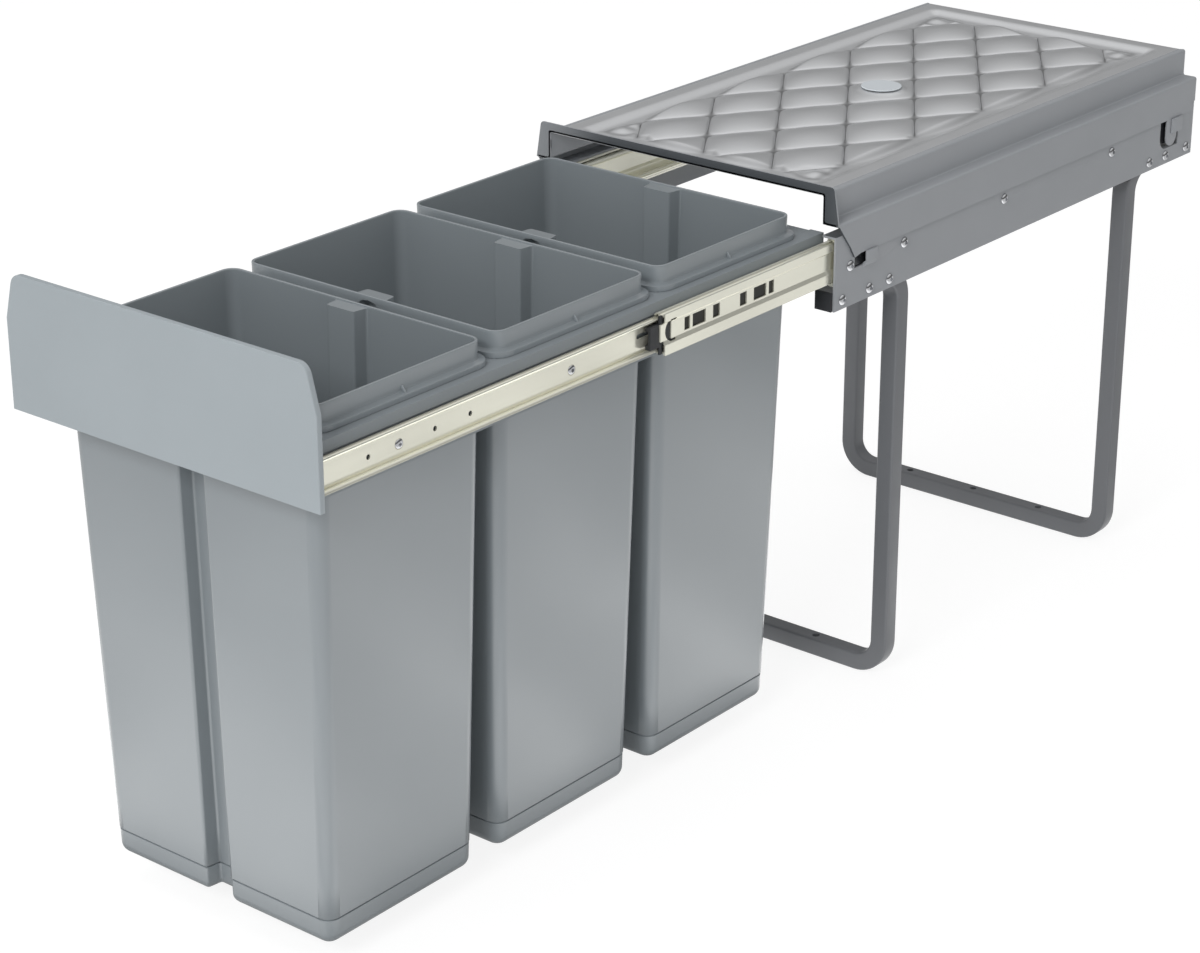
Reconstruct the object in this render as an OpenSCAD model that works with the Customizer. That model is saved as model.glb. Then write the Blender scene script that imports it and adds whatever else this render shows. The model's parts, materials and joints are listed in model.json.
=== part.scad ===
/* [Side panels] */
// Width over the outer faces of the two side panels
frame_width = 250; // [240:1:300]
// Length of the side panels, front to rear
panel_length = 464; // [455:1:520]
// Height of the side panels
panel_height = 50.4; // [48:0.2:58]
// Floor to the lower edge of the side panels
stand_height = 294.2; // [260:0.2:400]
// Thickness of the folded sheet of the panels
panel_sheet = 1.5; // [0.9:0.1:1.6]
// Width of the panel's top flange, measured from the outer face
panel_flange = 10.6; // [8:0.1:13]

/* [Legs] */
// Side of the square leg tube
tube_side = 13; // [11:0.5:14]
// Wall of the leg tube
tube_wall = 2; // [1:0.1:2]
// Bend radius of the leg tube, to its centre line
tube_bend_radius = 20; // [16:0.5:30]
// End of the side panel to the centre line of the leg
leg_setback = 83; // [76:1:110]
// Diameter of the screw holes in the legs' floor bars
floor_hole_d = 5.2; // [4:0.1:6.5]
// Distance between neighbouring screw holes in a floor bar
floor_hole_spacing = 60; // [40:1:75]
// Thickness of the head of a tube plug
plug_head = 1.6; // [1:0.1:3]
// Length of the part of a tube plug that sits in the tube
plug_depth = 9; // [5:0.5:20]

/* [Lid] */
// Thickness of the pressed lid sheet
lid_sheet = 1.5; // [0.9:0.1:1.6]
// How far the lid ends before the rear ends of the panels
lid_rear_gap = 2; // [1:0.5:6]
// How far the lid's walls stand in from the outer faces of the panels
lid_wall_inset = 9.4; // [8:0.1:11]
// Height of the raised middle above the ledges
lid_upper_height = 19.2; // [16:0.2:30]
// Height of the ledges' upper face above the panels' upper edge
lid_ledge_rise = 8.6; // [6:0.2:14]
// Depth of the skirts below the ledges' upper face
lid_skirt_depth = 24.8; // [23:0.2:27]
// Height of the front rim above the lid's top
rim_height = 5.1; // [3:0.1:10]
// Reach of the front rim beyond the lid's walls, at the top
rim_side = 6.8; // [4:0.1:9]
// Gap between the lid's skirts and the panels
skirt_gap = 0.15; // [0.1:0.05:0.4]
// Length of the slanted front end of a skirt
skirt_slant = 20.8; // [12:0.2:24]
// Lid's walls to the quilted field
quilt_margin_x = 16.4; // [15:0.1:20]
// Lid's ends to the quilted field
quilt_margin_y = 11.3; // [10:0.1:16]
// Depth of the recess that the quilted field lies in
quilt_recess = 1.8; // [1:0.1:3]
// Height of a pillow above the creases
quilt_rise = 3.4; // [1.5:0.1:5]
// Diameter of the plain badge in the middle of the lid
badge_d = 29; // [20:1:34]
// Thickness of the badge
badge_t = 0.8; // [0.5:0.1:1.5]

/* [Telescopic slides] */
// Length of the outer and inner slide members
slide_length = 450; // [430:1:452]
// Length of the middle slide members
middle_length = 400; // [385:1:415]
// Full travel of the drawer
drawer_travel = 450; // [420:1:460]
// Front end of the panel to the front end of the outer member
slide_setback = 3; // [1:0.5:6]
// Height of the outer slide member
slide_height = 32.7; // [32:0.1:34]
// Sheet of the outer slide member
outer_sheet = 1.2; // [1:0.1:1.3]
// Sheet of the middle and inner slide members
member_sheet = 1.0; // [0.9:0.1:1]
// Diameter of the bearing balls
ball_d = 3; // [2.8:0.1:3.1]
// Running gap round the bearing balls
ball_gap = 0.05; // [0.03:0.01:0.06]
// Thickness of the ball cage strip
cage_sheet = 0.4; // [0.3:0.05:0.45]
// Length of an outer ball cage
outer_cage_length = 205; // [160:1:210]
// Length of an inner ball cage
inner_cage_length = 132; // [110:1:134]
// Balls in one row of an outer cage
outer_cage_balls = 6; // [3:1:8]
// Balls in one row of an inner cage
inner_cage_balls = 5; // [3:1:6]
// Length of the plastic stop in the middle member's mouth
stop_length = 24; // [20:1:26]
// Reach of the plastic stop in front of the middle member
stop_reach = 12; // [8:1:14]

/* [Drawer frame] */
// Sheet of the drawer rails and cross bars
rail_sheet = 1; // [1:0.1:1.4]
// Height of the drawer rails
rail_height = 34.2; // [30:0.2:35]
// Width of the rails' top flange
rail_flange = 10.3; // [9:0.1:11.4]
// Height of the rolled shoulder along the rail's top
rail_shoulder = 7.2; // [5:0.2:7.8]
// Height of the drawer frame's top face above the panels' upper edge
rail_rise = 0.4; // [0.3:0.1:1]
// Depth of the pressed pads that the slides are screwed to
rail_pad = 1.5; // [1:0.1:2]
// Diameter of the pressed pads
rail_pad_d = 12; // [9:0.5:14]
// Width of the cross bars between the bins
cross_bar_width = 10; // [8:0.5:13]
// Height of the cross bars
cross_bar_height = 10; // [6:0.5:14]
// Depth of the front cross bar
front_bar_depth = 15; // [12:0.5:16]
// Width of the rear cross bar
rear_bar_width = 18; // [12:0.5:20]

/* [Front plate] */
// Sheet of the front plate
plate_sheet = 1; // [1:0.1:1.6]
// Depth of the plate's turned-back edges
plate_return = 3.8; // [2.5:0.1:5]
// How far the plate's sides stand in from the outer faces of the panels
plate_inset = 1.2; // [0.5:0.1:5]
// Height of the front plate
plate_height = 84.3; // [70:0.1:100]
// Height of the plate's upright sides, below the drawn-in corners
plate_side_height = 56.2; // [40:0.1:64]
// How far each upper corner of the plate is drawn in
plate_draw_in = 7.4; // [3:0.1:15]
// Radius of the plate's upper corners
plate_corner_r = 8; // [3:0.5:12]
// Lower edge of the plate above the lower edge of the side panels
plate_lift = 15.7; // [8:0.1:22]
// Front face of the plate ahead of the panels when closed
plate_reach = 22; // [19:0.5:26]

/* [Bins] */
// Distance between the centres of neighbouring bins
bin_pitch = 149; // [148:0.5:151]
// Gap between a bin's walls and the drawer rails
bin_rail_gap = 0.57; // [0.4:0.01:2]
// How much narrower a bin is at its foot than at its rim
bin_taper = 21; // [8:0.5:30]
// Length of a bin over its rim, front to rear
bin_rim_length = 137.5; // [134:0.5:139]
// Length of a bin at its foot
bin_foot_length = 127; // [118:0.5:130]
// Height of the rim above the drawer frame's top face
bin_rim_rise = 15.4; // [12:0.2:18]
// Height of a bin
bin_height = 343.6; // [250:0.2:344]
// Wall of a bin
bin_wall = 2; // [1.5:0.1:2.6]
// Reach of the hanging flange beyond the bin's wall
bin_flange = 4.6; // [3.6:0.1:5]
// Height of the hanging flange with its turned-down lip
bin_lip_height = 3.6; // [3:0.1:5]
// Radius of the bin's upright corners
bin_corner_r = 9; // [5:0.5:14]
// Radius of the bin's bottom edge
bin_foot_r = 7; // [4:0.5:9]
// Height of the foot band
bin_foot_band = 17.8; // [12:0.2:30]
// Ledge at the top of the foot band
bin_foot_ledge = 0.5; // [0.3:0.1:1]
// Width of the upright channels in the front and rear walls
channel_width = 20; // [14:0.5:24]
// Depth of the upright channels
channel_depth = 10; // [8:0.5:11]

/* [Screws] */
// Thread diameter of the button-head screws
screw_d = 4; // [3:0.1:4.4]
// Diameter of a screw head
screw_head_d = 7.6; // [6.4:0.1:8.4]
// Height of a screw head
screw_head_h = 2.2; // [1.6:0.1:2.6]
// Width across the flats of the hexagon socket
screw_socket = 2.5; // [2:0.1:3]
// Clearance between a screw and its hole, on the radius
screw_gap = 0.05; // [0.03:0.01:0.1]
// Diameter of the low slide screws' heads
slide_screw_head_d = 6.6; // [5.4:0.1:7.2]
// Height of the low slide screws' heads
slide_screw_head_h = 1.3; // [1:0.1:1.4]

/* [Hidden] */

// Overrun of every cut beyond the face it opens
cut = 1;
// Faces on a full circle
round_fn = 48;

// Side panels
panel_x = frame_width / 2;
panel_inner_x = panel_x - panel_sheet;
panel_front = -panel_length / 2;
panel_rear = panel_length / 2;
panel_top = stand_height + panel_height;

// Catches that hold the lid: places along the panel as distances from its nearer end,
// and heights above its lower edge
front_window_start = 21.6;
front_catch_start = 32.3;
front_catch_length = 14;
front_catch_low = 22.8;
front_window_low = 24.6;
rear_window_setback = 48.5;
rear_catch_setback = 35.4;
rear_window_start = panel_length - rear_window_setback;
rear_catch_start = panel_length - rear_catch_setback;
rear_catch_length = 17;
rear_catch_low = 23.5;
rear_hole_low = 12;
catch_high = 34.4;
catch_gap = 0.25;
catch_rise = skirt_gap + lid_sheet + catch_gap + panel_sheet;

// Screws along a side panel: shares of its length and of the legs' setback
slide_screw_shares = [0.0356, 0.169, 0.4332, 0.7435];
slide_screw_places = [for (share = slide_screw_shares) share * panel_length];
leg_screw_shares = [0.104, 0.472, 0.752];
front_leg_screw_places = [for (share = leg_screw_shares) share * leg_setback];
rear_leg_screw_places = [for (place = front_leg_screw_places) panel_length - place];
slide_screw_drop = 4.6;
leg_screw_reach = 3;

// Legs
leg_y = panel_length / 2 - leg_setback;
leg_x = panel_inner_x - tube_side / 2;
leg_top_z = stand_height + tube_side / 2;
leg_low_z = tube_side / 2;

// Lid
lid_ledge_z = panel_top + lid_ledge_rise;
lid_top_z = lid_ledge_z + lid_upper_height;
lid_wall_x = panel_x - lid_wall_inset;
lid_front = panel_front;
lid_rear = panel_rear - lid_rear_gap;
lid_length = lid_rear - lid_front;
lid_mid_y = (lid_front + lid_rear) / 2;
skirt_x = panel_x + skirt_gap + lid_sheet;
skirt_low_z = lid_ledge_z - lid_skirt_depth;
skirt_point_drop = 1.5;
skirt_notch = 5.2;
tongue_gap = 1.5;
tongue_width = 9;
rear_tongue_width = 15;
rear_ledge = 4.5;
rear_ledge_height = 18;

// Quilted field: cells of half a diamond are cut into quilt_cells parts each way
quilt_cells = 4;
quilt_cells_x = 14;
quilt_cells_y = 21;
quilt_half_x = lid_wall_x - quilt_margin_x;
quilt_half_y = lid_length / 2 - quilt_margin_y;
quilt_dx = quilt_half_x / quilt_cells_x;
quilt_dy = quilt_half_y / quilt_cells_y;
quilt_pitch_x = 2 * quilt_cells * quilt_dx;
quilt_pitch_y = 2 * quilt_cells * quilt_dy;
quilt_field_x = quilt_pitch_x * 1.5;
quilt_field_y = quilt_pitch_y * 2.4;
quilt_scallop = quilt_pitch_x * 0.115;
quilt_edge = quilt_dx;
quilt_lap = 1.5;
quilt_skin = lid_sheet / 12;
quilt_crown_share = 0.6;
badge_land = lid_top_z - quilt_recess + quilt_rise * 0.86;

// Slides: u runs inwards from the panel's inner face, v up from the slide's centre line
slide_lift = 2.9;
slide_z = stand_height + tube_side + slide_height / 2 + slide_lift;
slide_front = panel_front + slide_setback;
slide_rear = slide_front + slide_length;
race_r = ball_d / 2 + ball_gap;
cage_gap = 0.15;
cage_room = cage_sheet + 2 * cage_gap;
member_gap = 0.1;
race_inset = 0.25;
row_offset_u = 3.4;
row_offset_v = 2.95;
middle_recess = 0.9;
middle_u = outer_sheet + cage_room + member_gap;
ball_u_outer = middle_u + race_r + member_sheet + race_inset;
ball_v_outer = slide_height / 2 - race_r - outer_sheet;
ball_u_inner = ball_u_outer + row_offset_u;
ball_v_inner = ball_v_outer - row_offset_v;
slide_depth = ball_u_inner + race_r + member_sheet + ball_gap;
race_open = cage_room / 2;
web_rise = 1.6;
web_half = 5.5;
web_slope = 2.7;
web_upper_slope = 1;
drawer_side_x = panel_inner_x - slide_depth;

// Drawer, drawn fully open
open_y = -drawer_travel;
middle_open_y = open_y / 2;
outer_cage_y = open_y / 4;
inner_cage_y = open_y * 3 / 4;
rail_clear = 0.3;
rail_overhang = 1;
inner_setback = 2;
rear_bar_setback = 1.5;
plate_front = panel_front - plate_reach;
plate_rear = plate_front + plate_sheet;
rail_top = panel_top + rail_rise;
rail_face_x = drawer_side_x - rail_pad;
rail_shoulder_x = drawer_side_x - rail_clear;
rail_inner_x = rail_shoulder_x - rail_flange;
rail_end = slide_rear + rail_overhang;
rear_bar_end = rail_end - rear_bar_setback;
inner_front = plate_rear + inner_setback;
middle_front = slide_rear - middle_length;

// Screws and holes along the inner member: shares of its length
drawer_screw_shares = [0.1556, 0.4849, 0.8889];
drawer_hole_shares = [0.1011, 0.2213, 0.2871];
key_slot_shares = [0.6236, 0.648];
key_slot_height = 3.1;
key_slot_rise = 2;
drawer_hole_d = 3.2;
drawer_screw_drop = 1;
drawer_screw_z = slide_z - drawer_screw_drop;

// Plastic stop
stop_gap = 0.4;
stop_half_height = 7.3;
stop_cap_half_height = 12.4;
stop_cap_thickness = 3;
stop_cap_gap = 0.3;
stop_u = middle_u + middle_recess + member_sheet;
stop_depth = slide_depth - member_sheet - slide_screw_head_h - stop_gap - stop_u;

// Stamped slots in the middle member: a narrow, a wide and a middling one, then the same mirrored
slot_first = 20;
slot_narrow = 5.5;
slot_wide = 13.1;
slot_middling = 7;
slot_near_gap = 2.6;
slot_far_gap = 7.3;
slot_group_gap = 20.5;
slot_height = 8.4;
slot_widths = [slot_narrow, slot_wide, slot_middling];
slot_starts = [0, slot_narrow + slot_near_gap, slot_narrow + slot_near_gap + slot_wide + slot_far_gap];
slot_group_length = slot_starts[2] + slot_middling;

// Mouth of the middle member: the web's tongue, and the round cut behind it with a barb at each end
mouth_reach = 3.5;
mouth_cut_start = 1;
mouth_cut_r = 7.3;
mouth_cut_width = 6;
mouth_barb = 4.4;
mouth_barb_height = 1.4;

// Ball cages, as drawn closed
outer_cage_setback = 116;
inner_cage_setback = 14;
outer_cage_front = slide_rear - outer_cage_setback - outer_cage_length;
inner_cage_front = middle_front + drawer_travel / 4 + inner_cage_setback;

// Bins
bin_rim_width = 2 * (rail_inner_x - bin_rail_gap) + bin_taper * bin_rim_rise / bin_height;
bin_foot_width = bin_rim_width - bin_taper;
bin_top_z = rail_top + bin_rim_rise;
bin_low_z = bin_top_z - bin_height;
bin_first_setback = 88.3;
bin_first_y = plate_rear + bin_first_setback;
bin_places = [bin_first_y, bin_first_y + bin_pitch, bin_first_y + 2 * bin_pitch];
bin_arc_steps = 5;
bin_floor = 2.2;
channel_cap = 1;
channel_floor_share = 0.9;
bar_gap_y = bin_first_y + bin_pitch / 2;

// Plate screws
plate_screw_x = 80;
plate_screw_low = 10;
plate_screw_pitch = 12;
plate_screw_rows = [plate_screw_low, plate_screw_low + plate_screw_pitch];
plate_hole_depth = plate_sheet * 0.8;
plate_screw_d = 4;

// The parts on the right side, mirrored for the left one
module on_side(side) {
    if (side == "left") {
        mirror([1, 0, 0]) children();
    } else {
        children();
    }
}

// An outline in X and Z, drawn out along Y from one place to another
module along_y(from_y, to_y) {
    translate([0, to_y, 0]) rotate([90, 0, 0]) linear_extrude(height = to_y - from_y) children();
}

// An outline in Y and Z, drawn out along X from one place to another
module along_x(from_x, to_x) {
    translate([from_x, 0, 0]) rotate([90, 0, 90]) linear_extrude(height = to_x - from_x) children();
}

// A rectangle from one corner to the other
module from_to(a, b) {
    translate(a) square([b[0] - a[0], b[1] - a[1]]);
}

// A box from one corner to the other
module box_from_to(a, b) {
    translate(a) cube([b[0] - a[0], b[1] - a[1], b[2] - a[2]]);
}

// A rod along X that is used as a pin or as a hole
module rod_x(from_x, to_x, y, z, d) {
    translate([from_x, y, z]) rotate([0, 90, 0]) cylinder(h = to_x - from_x, d = d, $fn = round_fn);
}

// A button-head screw along +Z: the head stands on z = 0, the shank hangs below
module button_screw(length, head_d, head_h, shank_d) {
    difference() {
        union() {
            intersection() {
                cylinder(h = head_h, d = head_d, $fn = round_fn);
                translate([0, 0, head_h - button_ball_r(head_d, head_h)])
                    sphere(r = button_ball_r(head_d, head_h), $fn = round_fn);
            }
            translate([0, 0, -length]) cylinder(h = length + head_h / 4, d = shank_d, $fn = round_fn);
        }
        translate([0, 0, head_h / 3])
            cylinder(h = head_h, d = screw_socket / cos(30), $fn = 6);
    }
}

// Radius of the ball that a button head is cut from
function button_ball_r(head_d, head_h) =
    (head_d * head_d / 4 + head_h * head_h * 0.64) / (2 * head_h * 0.8);

// Side panels

// A raised catch: two trapeziums crossed, one over the length and one over the height
module catch_block(length, height, rise, low_slope) {
    intersection() {
        linear_extrude(height = height) polygon([
            [-cut, 0], [-cut, -cut], [rise, -cut], [rise, length - rise], [0, length], [-cut, length]]);
        rotate([90, 0, 0]) translate([0, 0, -length]) linear_extrude(height = length + cut) polygon([
            [-cut, 0], [0, 0], [rise, low_slope], [rise, height], [-cut, height]]);
    }
}

module catch(start, low, length, open_low) {
    height = catch_high - low;
    slope = open_low ? 0 : catch_rise;
    inner_slope = open_low ? 0 : catch_rise - panel_sheet;
    translate([panel_x, panel_front + start, stand_height + low]) difference() {
        catch_block(length, height, catch_rise, slope);
        translate([-panel_sheet, -cut, open_low ? -cut : panel_sheet])
            catch_block(length + cut - panel_sheet, height + 2 * cut, catch_rise, inner_slope + panel_sheet);
    }
}

module catch_opening(start, low, length, open_low) {
    translate([panel_x - panel_sheet - cut, panel_front + start, stand_height + low + (open_low ? 0 : panel_sheet)])
        cube([panel_sheet + 2 * cut, length - catch_rise, catch_high - low - (open_low ? 0 : panel_sheet)]);
}

module side_panel_body() {
    difference() {
        union() {
            along_y(panel_front, panel_rear) {
                from_to([panel_inner_x, stand_height], [panel_x, panel_top]);
                from_to([panel_x - panel_flange, panel_top - panel_sheet], [panel_x, panel_top]);
            }
        }
        // Window and slot of the front catch
        box_from_to([panel_inner_x - cut, panel_front + front_window_start, stand_height + front_window_low],
                    [panel_x + cut, panel_front + front_catch_start, stand_height + catch_high]);
        catch_opening(front_catch_start, front_catch_low, front_catch_length, false);
        // Window, slot and round hole of the rear catch
        box_from_to([panel_inner_x - cut, panel_front + rear_window_start, stand_height + rear_catch_low],
                    [panel_x + cut, panel_front + rear_catch_start, stand_height + catch_high]);
        catch_opening(rear_catch_start, rear_catch_low, rear_catch_length, true);
        rear_hole();
        panel_screw_holes();
    }
    catch(front_catch_start, front_catch_low, front_catch_length, false);
    catch(rear_catch_start, rear_catch_low, rear_catch_length, true);
}

// The hole below the rear catch that shows the lid's rear tongue
module rear_hole() {
    hole_length = rear_catch_start + rear_catch_length - catch_rise - rear_window_start;
    hole_height = rear_catch_low - rear_hole_low;
    hole_r = hole_height * 0.8;
    along_x(panel_inner_x - cut, panel_x + cut)
        translate([panel_front + rear_window_start, stand_height + rear_hole_low]) {
            from_to([0, hole_r], [hole_length, hole_height]);
            from_to([hole_r, 0], [hole_length, hole_height]);
            translate([hole_r, hole_r]) circle(r = hole_r, $fn = round_fn);
        }
}

module panel_screw_holes() {
    hole_d = screw_d + 2 * screw_gap;
    for (place = slide_screw_places)
        rod_x(panel_inner_x - cut, panel_x + cut, panel_front + place, slide_z - slide_screw_drop, hole_d);
    for (place = concat(front_leg_screw_places, rear_leg_screw_places))
        rod_x(panel_inner_x - cut, panel_x + cut, panel_front + place, leg_top_z, hole_d);
}

module side_panel(side) {
    color("#8a8d91") on_side(side) side_panel_body();
}

// Legs

// One straight run of square tube, along Z from 0
module tube_run(length, size) {
    translate([-size / 2, -size / 2, 0]) cube([size, size, length]);
}

// A quarter bend of square tube in the X and Y plane, centre at the origin
module tube_bend(size) {
    rotate_extrude(angle = 90, $fn = round_fn)
        translate([tube_bend_radius - size / 2, -size / 2]) square([size, size]);
}

// Half of a leg, drawn for the front leg and the right side: it starts at the panel's end,
// runs back, bends down, and bends in to the middle of the floor bar
module half_leg(size, end_cut) {
    run = leg_setback - tube_bend_radius;
    drop = leg_top_z - leg_low_z - 2 * tube_bend_radius;
    half_bar = leg_x - tube_bend_radius;
    // Run along the panel
    translate([leg_x, panel_front - end_cut, leg_top_z]) rotate([-90, 0, 0]) tube_run(run + end_cut, size);
    // Bend down
    translate([leg_x, -leg_y - tube_bend_radius, leg_top_z - tube_bend_radius])
        rotate([90, 0, 90]) tube_bend(size);
    // Upright
    translate([leg_x, -leg_y, leg_low_z + tube_bend_radius]) tube_run(drop, size);
    // Bend to the floor bar
    translate([leg_x - tube_bend_radius, -leg_y, leg_low_z + tube_bend_radius])
        rotate([90, 0, 0]) mirror([0, 1, 0]) tube_bend(size);
    // Floor bar to the middle
    translate([0, -leg_y, leg_low_z]) rotate([0, 90, 0]) tube_run(half_bar, size);
}

module leg_solid(size, end_cut) {
    half_leg(size, end_cut);
    mirror([1, 0, 0]) half_leg(size, end_cut);
}

module leg_front_shape() {
    hole_d = screw_d + 2 * screw_gap;
    difference() {
        leg_solid(tube_side, 0);
        leg_solid(tube_side - 2 * tube_wall, cut);
        for (i = [-1 : 1])
            translate([i * floor_hole_spacing, -leg_y, -cut])
                cylinder(h = tube_side + 2 * cut, d = floor_hole_d, $fn = round_fn);
        for (place = front_leg_screw_places, s = [-1, 1])
            rod_x(min(s * (panel_inner_x + cut), s * leg_x), max(s * (panel_inner_x + cut), s * leg_x),
                  panel_front + place, leg_top_z, hole_d);
    }
}

module leg_front() {
    color("#8f9296") leg_front_shape();
}

module leg_rear() {
    color("#8f9296") mirror([0, 1, 0]) leg_front_shape();
}

// Plugs in the four open tube ends
module leg_plugs() {
    inside = tube_side - 2 * tube_wall;
    color("#2e3237")
        for (s = [0, 1], e = [0, 1])
            mirror([s, 0, 0]) mirror([0, e, 0])
                translate([leg_x, panel_front, leg_top_z]) {
                    translate([-tube_side / 2, -plug_head, -tube_side / 2])
                        cube([tube_side, plug_head, tube_side]);
                    translate([-inside / 2, 0, -inside / 2]) difference() {
                        cube([inside, plug_depth, inside]);
                        translate([tube_wall, plug_head, tube_wall])
                            cube([inside - 2 * tube_wall, plug_depth, inside - 2 * tube_wall]);
                        // Room for the screw that crosses the tube's end
                        translate([inside / 2, front_leg_screw_places[0], inside / 2])
                            rotate([0, 90, 0])
                                cylinder(h = inside, d = screw_d + 4 * screw_gap, $fn = round_fn);
                    }
                }
}

// Lid

// Outline of a skirt in Y and Z, with its slanted front, its tongues and its stepped rear
module skirt_outline() {
    front_tongue = lid_front + front_catch_start + panel_sheet;
    rear_tongue = lid_front + rear_window_start + (rear_catch_start - rear_window_start) * 0.5;
    rear_tongue_low = stand_height + rear_hole_low + tongue_gap;
    difference() {
        union() {
            polygon([
                [lid_front, lid_ledge_z],
                [lid_front + skirt_slant, skirt_low_z - skirt_point_drop],
                [lid_front + skirt_slant + skirt_notch, skirt_low_z],
                [lid_rear - rear_ledge, skirt_low_z],
                [lid_rear - rear_ledge, lid_ledge_z - rear_ledge_height],
                [lid_rear, lid_ledge_z - rear_ledge_height],
                [lid_rear, lid_ledge_z]]);
            from_to([front_tongue, stand_height + front_catch_low + catch_rise + tongue_gap],
                    [front_tongue + tongue_width, skirt_low_z + cut]);
            from_to([rear_tongue, rear_tongue_low + rear_tongue_width / 2],
                    [rear_tongue + rear_tongue_width, skirt_low_z + cut]);
            translate([rear_tongue + rear_tongue_width / 2, rear_tongue_low + rear_tongue_width / 2])
                circle(d = rear_tongue_width, $fn = round_fn);
        }
    }
}

// The folded sheet of the lid, without the quilted middle
module lid_sheet_body() {
    rim_t = lid_sheet;
    difference() {
        union() {
            along_y(lid_front, lid_rear) {
                from_to([-lid_wall_x, lid_top_z - lid_sheet], [lid_wall_x, lid_top_z]);
                for (s = [0, 1]) mirror([s, 0]) {
                    from_to([lid_wall_x - lid_sheet, lid_ledge_z - lid_sheet], [lid_wall_x, lid_top_z]);
                    from_to([lid_wall_x - lid_sheet, lid_ledge_z - lid_sheet], [skirt_x, lid_ledge_z]);
                }
            }
            for (s = [0, 1]) mirror([s, 0, 0])
                along_x(skirt_x - lid_sheet, skirt_x) skirt_outline();
            // Front rim
            along_y(lid_front, lid_front + rim_t) polygon([
                [-skirt_x, lid_ledge_z - lid_sheet],
                [-lid_wall_x - rim_side, lid_top_z + rim_height],
                [lid_wall_x + rim_side, lid_top_z + rim_height],
                [skirt_x, lid_ledge_z - lid_sheet]]);
            // Turned-down rear edge
            along_y(lid_rear - rim_t, lid_rear)
                from_to([-lid_wall_x, lid_ledge_z - lid_sheet], [lid_wall_x, lid_top_z]);
        }
        // Mouth of the lid, which the bins pass
        along_y(lid_front - cut, lid_front + rim_t + cut)
            from_to([-lid_wall_x + lid_sheet, lid_ledge_z - lid_sheet - cut],
                    [lid_wall_x - lid_sheet, lid_top_z - lid_sheet]);
        // Place of the quilted field
        box_from_to([-quilt_half_x, lid_mid_y - quilt_half_y, lid_top_z - lid_sheet - cut],
                    [quilt_half_x, lid_mid_y + quilt_half_y, lid_top_z + cut]);
    }
}

// Half width of the scalloped field at a place along it, and half length at a place across it
function field_edge_x(y) = quilt_field_x + quilt_scallop * abs(sin(180 * y / quilt_pitch_y));
function field_edge_y(x) = quilt_field_y + quilt_scallop * abs(sin(180 * x / quilt_pitch_x));

// How far a point is inside the field, from 0 at its edge to 1
function field_inside(x, y) =
    max(0, min(1, (field_edge_x(y) - abs(x)) / quilt_edge, (field_edge_y(x) - abs(y)) / quilt_edge));

// Height of the pillows: nothing on the crossing creases, and rounded between them
function pillow(x, y) =
    pow(abs(sin(180 * (x / quilt_pitch_x + y / quilt_pitch_y + 0.5))
          * sin(180 * (x / quilt_pitch_x - y / quilt_pitch_y + 0.5))), quilt_crown_share);

// Top of the quilted field at a grid point counted from its middle
function quilt_z(i, j) =
    (abs(i) >= quilt_cells_x || abs(j) >= quilt_cells_y) ? lid_top_z - quilt_skin :
    min(badge_land, lid_top_z - quilt_recess
        + quilt_rise * pillow(i * quilt_dx, j * quilt_dy) * field_inside(i * quilt_dx, j * quilt_dy));

function quilt_x(i) = i * quilt_dx + quilt_over(i, quilt_cells_x, quilt_dx);
function quilt_y(j) = lid_mid_y + j * quilt_dy + quilt_over(j, quilt_cells_y, quilt_dy);

// The outermost grid line lies one lap outside the edge of the opening in the sheet
function quilt_over(i, n, step) = abs(i) > n ? sign(i) * (quilt_lap - step) : 0;

function quilt_bottom(i, j) =
    (abs(i) >= quilt_cells_x || abs(j) >= quilt_cells_y) ? lid_top_z - lid_sheet + quilt_skin :
    quilt_z(i, j) - lid_sheet;

// The diagonal of each cell lies along the creases
function crease_rises(i, j) =
    (floor(i / quilt_cells) + floor(j / quilt_cells) + (quilt_cells * 8)) % 2 == 1;

module quilted_field() {
    nx = quilt_cells_x + 1;
    ny = quilt_cells_y + 1;
    row = 2 * ny + 1;
    count = (2 * nx + 1) * row;
    top = [for (i = [-nx : nx], j = [-ny : ny]) [quilt_x(i), quilt_y(j), quilt_z(i, j)]];
    low = [for (i = [-nx : nx], j = [-ny : ny]) [quilt_x(i), quilt_y(j), quilt_bottom(i, j)]];
    top_faces = [for (i = [0 : 2 * nx - 1], j = [0 : 2 * ny - 1], k = [0, 1])
        let (a = i * row + j, b = a + 1, c = a + row, d = c + 1)
        crease_rises(i - nx, j - ny)
            ? (k == 0 ? [a, b, d] : [a, d, c])
            : (k == 0 ? [a, b, c] : [b, d, c])];
    low_faces = [for (f = top_faces) [f[2] + count, f[1] + count, f[0] + count]];
    rim = concat(
        [for (i = [0 : 2 * nx]) i * row],
        [for (j = [1 : 2 * ny]) 2 * nx * row + j],
        [for (i = [1 : 2 * nx]) (2 * nx - i) * row + 2 * ny],
        [for (j = [1 : 2 * ny - 1]) 2 * ny - j]);
    sides = [for (k = [0 : len(rim) - 1], h = [0, 1])
        let (p = rim[k], q = rim[(k + 1) % len(rim)])
        h == 0 ? [p, q, q + count] : [p, q + count, p + count]];
    polyhedron(points = concat(top, low), faces = concat(top_faces, low_faces, sides), convexity = 6);
}

module lid() {
    color("#9a9ca0") union() {
        lid_sheet_body();
        quilted_field();
    }
}

module lid_badge() {
    color("#e9edf0")
        translate([0, lid_mid_y, badge_land]) cylinder(h = badge_t, d = badge_d, $fn = round_fn);
}

// Telescopic slides

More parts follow.
